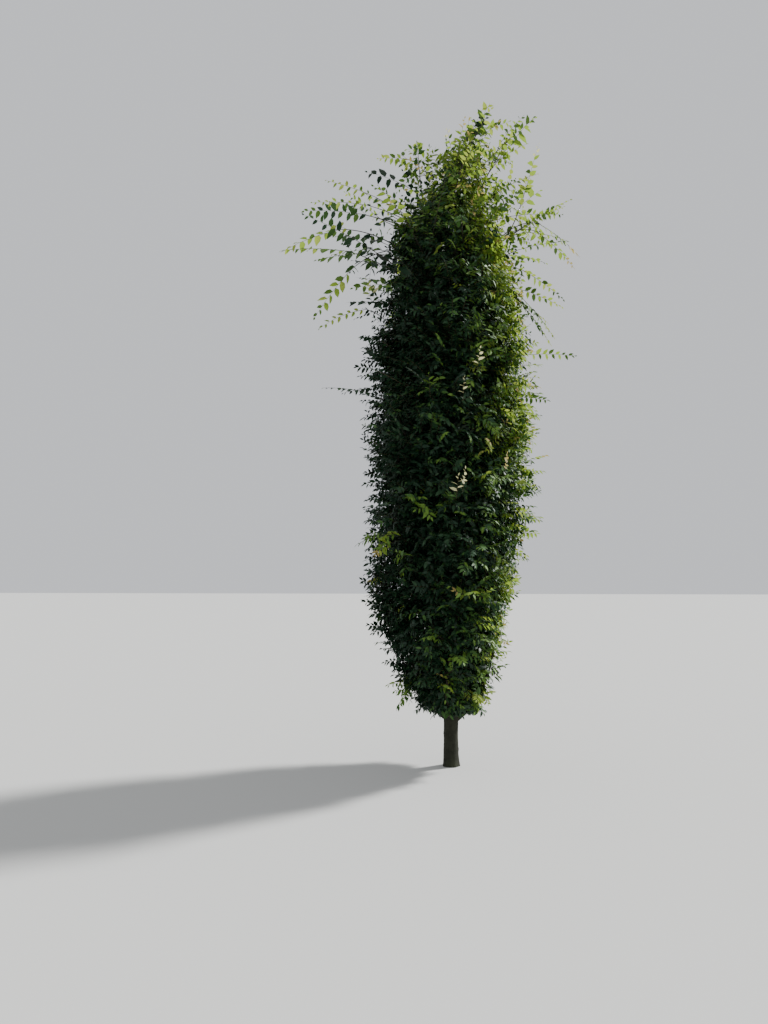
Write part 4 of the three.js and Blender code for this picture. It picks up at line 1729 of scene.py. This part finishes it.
    def _leaf_row(self, line: BowedLine, face: np.ndarray, habit: Habit, tint: Tint, tip: Tint) -> None:
        """Hangs leaves on alternate sides of a twig, smaller towards its growing tip.

        Args:
            line: The twig's line.
            face: The way that the spray's upper side turns.
            habit: How the leaves stand.
            tint: The spray's tint.
            tip: The tint of its last leaves.
        """
        count = max(2, round(line.length * (1 - self.bare_foot) / habit.leaf_spacing))
        shares = np.linspace(self.bare_foot, 1, count)
        draws = self.draws.random((7, count))
        opened, drooped, tilted, sized, tinted = draws[0], draws[1], draws[2:5].T, draws[5], draws[6]
        tangents = line.tangents(shares)
        sides = unit(np.cross(face, tangents)) * np.where(np.arange(count) % 2, 1, -1)[:, None]
        widest, closing, scatter, last = self.leaf_opening
        opening = widest - closing * shares**3 + scatter * (opened - 0.5)
        opening[-1] = last
        along = tangents * np.cos(opening)[:, None] + sides * np.sin(opening)[:, None]
        along = unit(along - UP * (habit.leaf_droop * 2 * drooped)[:, None])
        faces = unit(face + habit.face_tilt * (tilted - 0.5))
        least, more, skew = self.leaf_swell
        swell = (least + more * np.sin(math.pi * shares**skew)) * (1 - (1 - habit.tip_size) * shares**4)
        lengths = (habit.leaf_length * swell * mix(*self.leaf_sizes, sized))[:, None]
        leaves = np.hstack((line.points(shares), along, faces, lengths, habit.leaf_width * lengths))
        kinds = self.light.leaf_tints(tint, tinted)
        if tip is not tint:
            kinds[shares > habit.tip_from] = tip.value
        for kind in np.unique(kinds):
            self.leaves[Tint(kind)].add(leaves[kinds == kind])

    def _side_twig(self, shoot: BowedLine, share: float, key: tuple[int, int], habit: Habit) -> BowedLine:
        """The line of a side twig, which leaves its shoot by the solids' rule for a spray.

        Args:
            shoot: The shoot's line.
            share: Where on the shoot it stands.
            key: The shoot's number and the side twig's, which set its turns.
            habit: How it grows.

        Returns:
            Its line.
        """
        place, forward = shoot.points(share), shoot.tangents(share)
        length = min(habit.longest_twig, habit.least_twig + habit.twig_slope * (1 - share) * shoot.length)
        length *= mix(*self.twig_sizes, self._chance(*key, Draw.TWIG_LENGTH))
        roll = mix(-habit.roll, habit.roll, self._chance(*key, Draw.TWIG_ROLL))
        face = self._face(place, forward, roll, habit)
        side = unit(np.cross(forward, face)) * (1 if key[1] % 2 else -1)
        swing = mix(*self.swing, self._chance(*key, Draw.SWING))
        along = unit(forward * math.cos(swing) + side * math.sin(swing) - UP * habit.droop)
        middle = place + along * length / 2 + UP * habit.twig_bow * length
        return BowedLine(place, middle, place + along * length)

    def _grow_shoot(
        self,
        shoot: BowedLine,
        index: int,
        habit: Habit,
        tint: Tint | None = None,
        tip: Tint | None = None,
        is_sprig: bool = False,
    ) -> None:
        """Grows one shoot with its side twigs and leaves.

        Args:
            shoot: Its line, without its end spray.
            index: Its number.
            habit: How it grows.
            tint: The tint of its leaves, where that is settled.
            tip: The tint of its last leaves, where that is settled.
            is_sprig: Whether it ends in a sprig.
        """
        plain = min(habit.plain_tip, self.plain_share * shoot.length)
        leafy = min(habit.leafy_run, self.leafy_share * shoot.length)
        tip_radius, thickening = self.shoot_radii
        shares = np.linspace(0, 1 - plain / shoot.length, self.shoot_rings[habit.is_free])
        radii = tip_radius + thickening * shoot.length * (1 - shares)
        sides = self.shoot_sides[habit.is_free]
        self.twigs.add(shoot.points(shares), radii, shoot.across(), sides, Wood.SHOOT)
        count = max(habit.least_twigs, int((leafy - plain) / habit.node_spacing))
        for k in range(count):
            from_tip = plain + (leafy - plain) * (k + self.first_node) / count
            line = self._side_twig(shoot, 1 - from_tip / shoot.length, (index, k), habit)
            self._dress_twig(line, habit, (index, k), tint)
        if is_sprig:
            top = shoot.end + unit(self.sprig_forward * shoot.tangents(1.0) + UP) * self.sprig_height
            self._dress_twig(arch(shoot.end, top, 0), SPRIG, (index, self.tip_key), tint, tip)
            return
        start, middle = shoot.points(1 - np.array((plain, plain / 2)) / shoot.length)
        forward = self._end_way(shoot)
        bend = middle + (shoot.end - middle) * self.tip_foot
        for share in self.spray_tries:
            end = shoot.end + forward * self.tip_spray[habit.is_free] * share
            if self._keeps(end[None], self.tier.margin if habit.margin is None else habit.margin)[0]:
                self._dress_twig(BowedLine(start, bend, end), habit, (index, self.tip_key), tint, tip)
                return

    def _end_way(self, shoot: BowedLine) -> np.ndarray:
        """The way that a shoot's end spray points: onwards, and down by its weight."""
        return unit(shoot.tangents(1.0) - self.tip_droop * UP)

    def _dress_twig(
        self,
        line: BowedLine,
        habit: Habit,
        key: tuple[int, int],
        tint: Tint | None = None,
        tip: Tint | None = None,
    ) -> None:
        """Gives a side twig its wood and its leaves, unless it would stand out of the crown.

        Args:
            line: Its line.
            habit: How it grows.
            key: The shoot's number and its own.
            tint: The tint of its leaves, where that is settled.
            tip: The tint of its last leaves, where that is settled.
        """
        margin = habit.margin
        if margin is None:
            is_stray = self._chance(*key, Draw.STRAY_TWIG) < self.stray_share
            margin = self.stray_margin if is_stray else self.tier.margin
        if not self._keeps(line.end[None], margin)[0]:
            return
        middle = line.points(self.twig_middle)
        if tint is None:
            tint = self._tint(middle, habit.is_free, key)
        if tip is None:
            ends_bronze = tint.value >= (Tint.HALF_LIT if habit.is_free else Tint.SUNLIT).value
            is_bronze = ends_bronze and self._chance(*key, Draw.BRONZE_TIP) < self.light.bronze_tips
            tip = Tint.BRONZE if is_bronze else tint
        roll = mix(-habit.face_roll, habit.face_roll, self._chance(*key, Draw.FACE_ROLL))
        self._leaf_row(line, self._face(middle, line.tangents(0.5), roll, habit), habit, tint, tip)
        shares = np.linspace(0, 1, habit.twig_steps + 1)
        least, thickening, end_radius = self.twig_radii
        radii = np.linspace(least + thickening * line.length, end_radius, habit.twig_steps + 1)
        self.twigs.add(line.points(shares), radii, line.across(), self.twig_sides, Wood.TWIG)

    def _tint(self, place: np.ndarray, is_free: bool, key: tuple[int, int]) -> Tint:
        """The tint of the spray with a key at a place.

        Args:
            place: Where the spray stands.
            is_free: Whether it is on a free shoot.
            key: The shoot's number and the side twig's.

        Returns:
            The tint.
        """
        draw = 0.5 * (self._chance(*key, Draw.TWIG_TINT) + self._chance(key[0], Draw.SHOOT_TINT))
        tint = self.light.tint(place, self._outerness(place, is_free), is_free, draw)
        # A few sprays take the young tint: young leaves, and on the clipped column also painted glints of
        # sun.
        young = self.light.young_free if is_free else self.light.young_and_glint_clipped
        return Tint.YOUNG_AND_GLINT if tint is not Tint.DEEP and self._chance(*key, Draw.YOUNG_AND_GLINT) < young else tint

    def grow(self) -> None:
        """Grows the whole mass."""
        stem = self.stem()
        shares = np.linspace(0, 1, self.stem_rings)
        radii = mix(self.bough.tip_radius, self.stem_tip_radius, shares)
        self.twigs.add(stem.points(shares), radii, stem.across(), self.stem_sides, Wood.SHOOT)
        self._dress_stem(stem)
        for index in range(self.leader_shoots if self.mass.is_leader else self.plan.shoots(self.mass)):
            tip, is_free = self._shoot_end(index)
            line = self._shoot(tip, stem, index)
            self._grow_shoot(line, index, self._free_habit(line) if is_free else CLIPPED)
        for place, shoot in enumerate(SEEN_SHOOTS.get(self.mass.key, ())):
            self._grow_seen(shoot, stem, self.seen_key + self.seen_step * place)
        self._trim()

    def _dress_stem(self, stem: BowedLine) -> None:
        """Gives a stem side twigs of its own, and a spray over its end.

        Args:
            stem: The stem's line.
        """
        low, high, count = self.stem_sprays
        habit = FREE if self.tier.free == 1 else CLIPPED
        for k, share in enumerate(np.linspace(low, high, count)):
            line = self._side_twig(stem, float(share), (self.tip_key, k), habit)
            self._dress_twig(line, habit, (self.tip_key, k))
        top = stem.end + stem.tangents(1.0) * self.tip_spray[0]
        line = BowedLine(stem.points(high - self.stem_end), stem.end, top)
        self._dress_twig(line, habit, (self.tip_key, count))

    def _free_habit(self, line: BowedLine) -> Habit:
        """The habit of a free shoot. On the upper left, long ones have bold leaves and the rest are thin.

        Args:
            line: The shoot's line.

        Returns:
            The habit.
        """
        if line.end[0] > self.bold_side or self.mass.tier is Tier.FLANK:
            return FREE
        return BOLD if line.length > self.bold_from and self.mass.tier is Tier.SHOULDER else THIN

    def _grow_seen(self, shoot: Shoot, stem: BowedLine, first: int) -> None:
        """Grows a shoot that stands out in the photograph, and the ones beside it.

        Args:
            shoot: Where it ends and how it looks.
            stem: The mass's stem.
            first: Its number. Those beside it have the next ones.
        """
        start = stem.points(shoot.foot)
        for index in range(first, first + 1 + shoot.beside):
            draws = np.array([self._chance(index, axis) - 0.5 for axis in range(3)])
            away = draws * self.beside_spread * min(index - first, 1)
            tip = np.array((shoot.across, shoot.depth, shoot.height)) + away
            line = arch(start, tip, shoot.bow)
            if shoot.habit is SPRIG:
                self._grow_shoot(line, index, CLIPPED, None, shoot.tip, True)
                continue
            for _ in range(self.seen_rounds):
                end = tip - self._end_way(line) * self.tip_spray[shoot.habit.is_free]
                line = arch(start, end, shoot.bow)
            self._grow_shoot(line, index, shoot.habit, shoot.tint, shoot.tip)

    def _trim(self) -> None:
        """Drops the leaves whose tips would leave the crown."""
        for leaves in self.leaves.values():
            if leaves.rows:
                rows = np.vstack(leaves.rows)
                kept = rows[self._keeps(rows[:, 0:3] + rows[:, 3:6] * rows[:, 9:10], self.free_margin)]
                leaves.rows = [kept] if len(kept) else []


@dataclass
class Crown:
    """All the foliage, with its leaves joined into pieces."""

    plan: Plan
    trunk: Trunk

    def __post_init__(self) -> None:
        """Grows every mass in turn."""
        boughs = [Bough(mass, self.plan, self.trunk) for mass in all_masses()]
        self.parts = [Foliage(bough.mass, self.plan, bough) for bough in boughs]
        for part in self.parts:
            part.grow()

    def leaf_count(self) -> int:
        """How many leaves the tree has."""
        return sum(leaves.count() for part in self.parts for leaves in part.leaves.values())

    @staticmethod
    def _leaf_object(name: str, groups: list[tuple[int, Leaves]], materials: list[Material]) -> Piece:
        """Makes one piece of several lots of leaves.

        Args:
            name: The piece's name.
            groups: The lots, each with the number of its material.
            materials: The materials.

        Returns:
            The piece.
        """
        groups = [(kind, leaves) for kind, leaves in groups if leaves.rows]
        corners = [leaves.corners() for _, leaves in groups]
        starts = np.cumsum([0] + [len(made) for made in corners])
        triangles = [leaves.triangles() + start for (_, leaves), start in zip(groups, starts)]
        kinds = [np.full(len(made), kind) for made, (kind, _) in zip(triangles, groups)]
        return mesh_object(name, *map(np.concatenate, (corners, triangles, kinds)), materials)

    def build(self, materials: dict[Tint, Material], wood: list[Material]) -> list[Piece]:
        """Makes the pieces: twigs and green leaves for each mass, and bright leaves for each tier.

        Args:
            materials: The leaf materials by tint.
            wood: The materials of shoots and twigs.

        Returns:
            The pieces.
        """
        pieces = []
        inner = [materials[tint] for tint in INNER_TINTS]
        for part in self.parts:
            key = part.mass.key
            pieces.append(tied(part.twigs.to_object(f"twigs_{key}", wood), "bough_bark", f"foliage_{key}"))
            groups = [(kind, part.leaves[tint]) for kind, tint in enumerate(INNER_TINTS)]
            leaves = self._leaf_object(f"leaves_{key}", groups, inner)
            pieces.append(tied(leaves, LEAF_SLOTS[part.mass.tier], f"foliage_{key}"))
        for tier in Tier:
            for tint in OUTER_TINTS:
                parts = [part for part in self.parts if part.mass.tier is tier and part.leaves[tint].rows]
                if parts:
                    name = f"{tint.name.lower()}_leaves_{tier.value}"
                    groups = [(0, part.leaves[tint]) for part in parts]
                    leaves = self._leaf_object(name, groups, [materials[tint]])
                    nodes = [f"foliage_{part.mass.key}" for part in parts]
                    pieces.append(tied(leaves, "leaf_light", *nodes))
        return pieces


# The studio


@dataclass
class Studio:
    """A pale floor, soft light, and a camera where the photograph was taken from."""

    eye: tuple[float, float, float] = (0.014, -6.12, 1.51)
    tilt_up: float = math.radians(5.0)
    turn_left: float = math.atan((451 - 384) / 740)
    focal_px: float = 740.0
    frame_px: float = 1024.0
    sensor_mm: float = 36.0
    floor_size: float = 60.0
    floor_colour: Colour = (0.52, 0.52, 0.50)
    world_colour: Colour = (0.86, 0.88, 0.92)
    world_strength: float = 0.85
    sun_azimuth: float = math.radians(32.0)
    sun_elevation: float = math.radians(42.0)
    sun_strength: float = 7.0
    sun_width: float = math.radians(7.0)

    def camera(self) -> None:
        """Puts the camera where the photographer stood."""
        data = bpy.data.cameras.new("photo_camera")
        data.sensor_width = self.sensor_mm
        data.lens = self.focal_px / self.frame_px * self.sensor_mm
        made = link("photo_camera", data)
        made.location = self.eye
        made.rotation_euler = (math.pi / 2 + self.tilt_up, 0, self.turn_left)
        bpy.context.scene.camera = made

    def floor(self) -> None:
        """Lays the floor."""
        shape = bmesh.new()
        bmesh.ops.create_grid(shape, x_segments=1, y_segments=1, size=self.floor_size)
        mesh = bpy.data.meshes.new("studio_floor")
        shape.to_mesh(mesh)
        shape.free()
        finish = PlainFinish("studio_floor", self.floor_colour, roughness=0.9, shine=0.1)
        mesh.materials.append(finish.material())
        link("studio_floor", mesh)

    def sun(self) -> None:
        """Hangs one soft light far off, behind the tree and to its right."""
        data = bpy.data.lights.new("sun", "SUN")
        data.energy, data.angle = self.sun_strength, self.sun_width
        towards = polar(self.sun_azimuth, math.cos(self.sun_elevation), math.sin(self.sun_elevation))
        link("sun", data).rotation_euler = Vector(-towards).to_track_quat("-Z", "Y").to_euler()

    def sky(self) -> None:
        """Lights the studio evenly from all round."""
        world = bpy.data.worlds.new("studio_world")
        world.use_nodes = True
        background = world.node_tree.nodes["Background"]
        background.inputs["Color"].default_value = (*self.world_colour, 1.0)
        background.inputs["Strength"].default_value = self.world_strength
        bpy.context.scene.world = world

    def build(self) -> None:
        """Sets the whole studio up."""
        self.camera()
        self.floor()
        self.sun()
        self.sky()


def main() -> None:
    """Builds the studio and the tree, and reports each piece of the tree."""
    logging.basicConfig(level=logging.INFO, format="%(message)s")
    Studio().build()
    plan, trunk = Plan(), Trunk()
    # The trunk's bark is the darker copy, painted shade; the limbs' bark has a paler pale.
    trunk_bark = BarkFinish("trunk_bark").material()
    limb_bark = BarkFinish("limb_bark", pale=(0.085, 0.070, 0.052)).material()
    boughs = [Bough(mass, plan, trunk) for mass in all_masses() if not mass.is_leader]
    pieces = [trunk.build(trunk_bark)] + [bough.build(limb_bark) for bough in boughs]
    crown = Crown(plan, trunk)
    leaf_materials = {tint: finish.material() for tint, finish in LEAF_FINISHES.items()}
    pieces += crown.build(leaf_materials, [finish.material() for finish in WOOD_FINISHES.values()])
    for piece in pieces:
        LOG.info("%s: %d faces", piece.name, len(piece.data.polygons))
    LOG.info("leaves in all: %d", crown.leaf_count())


if __name__ == "__main__":
    main()
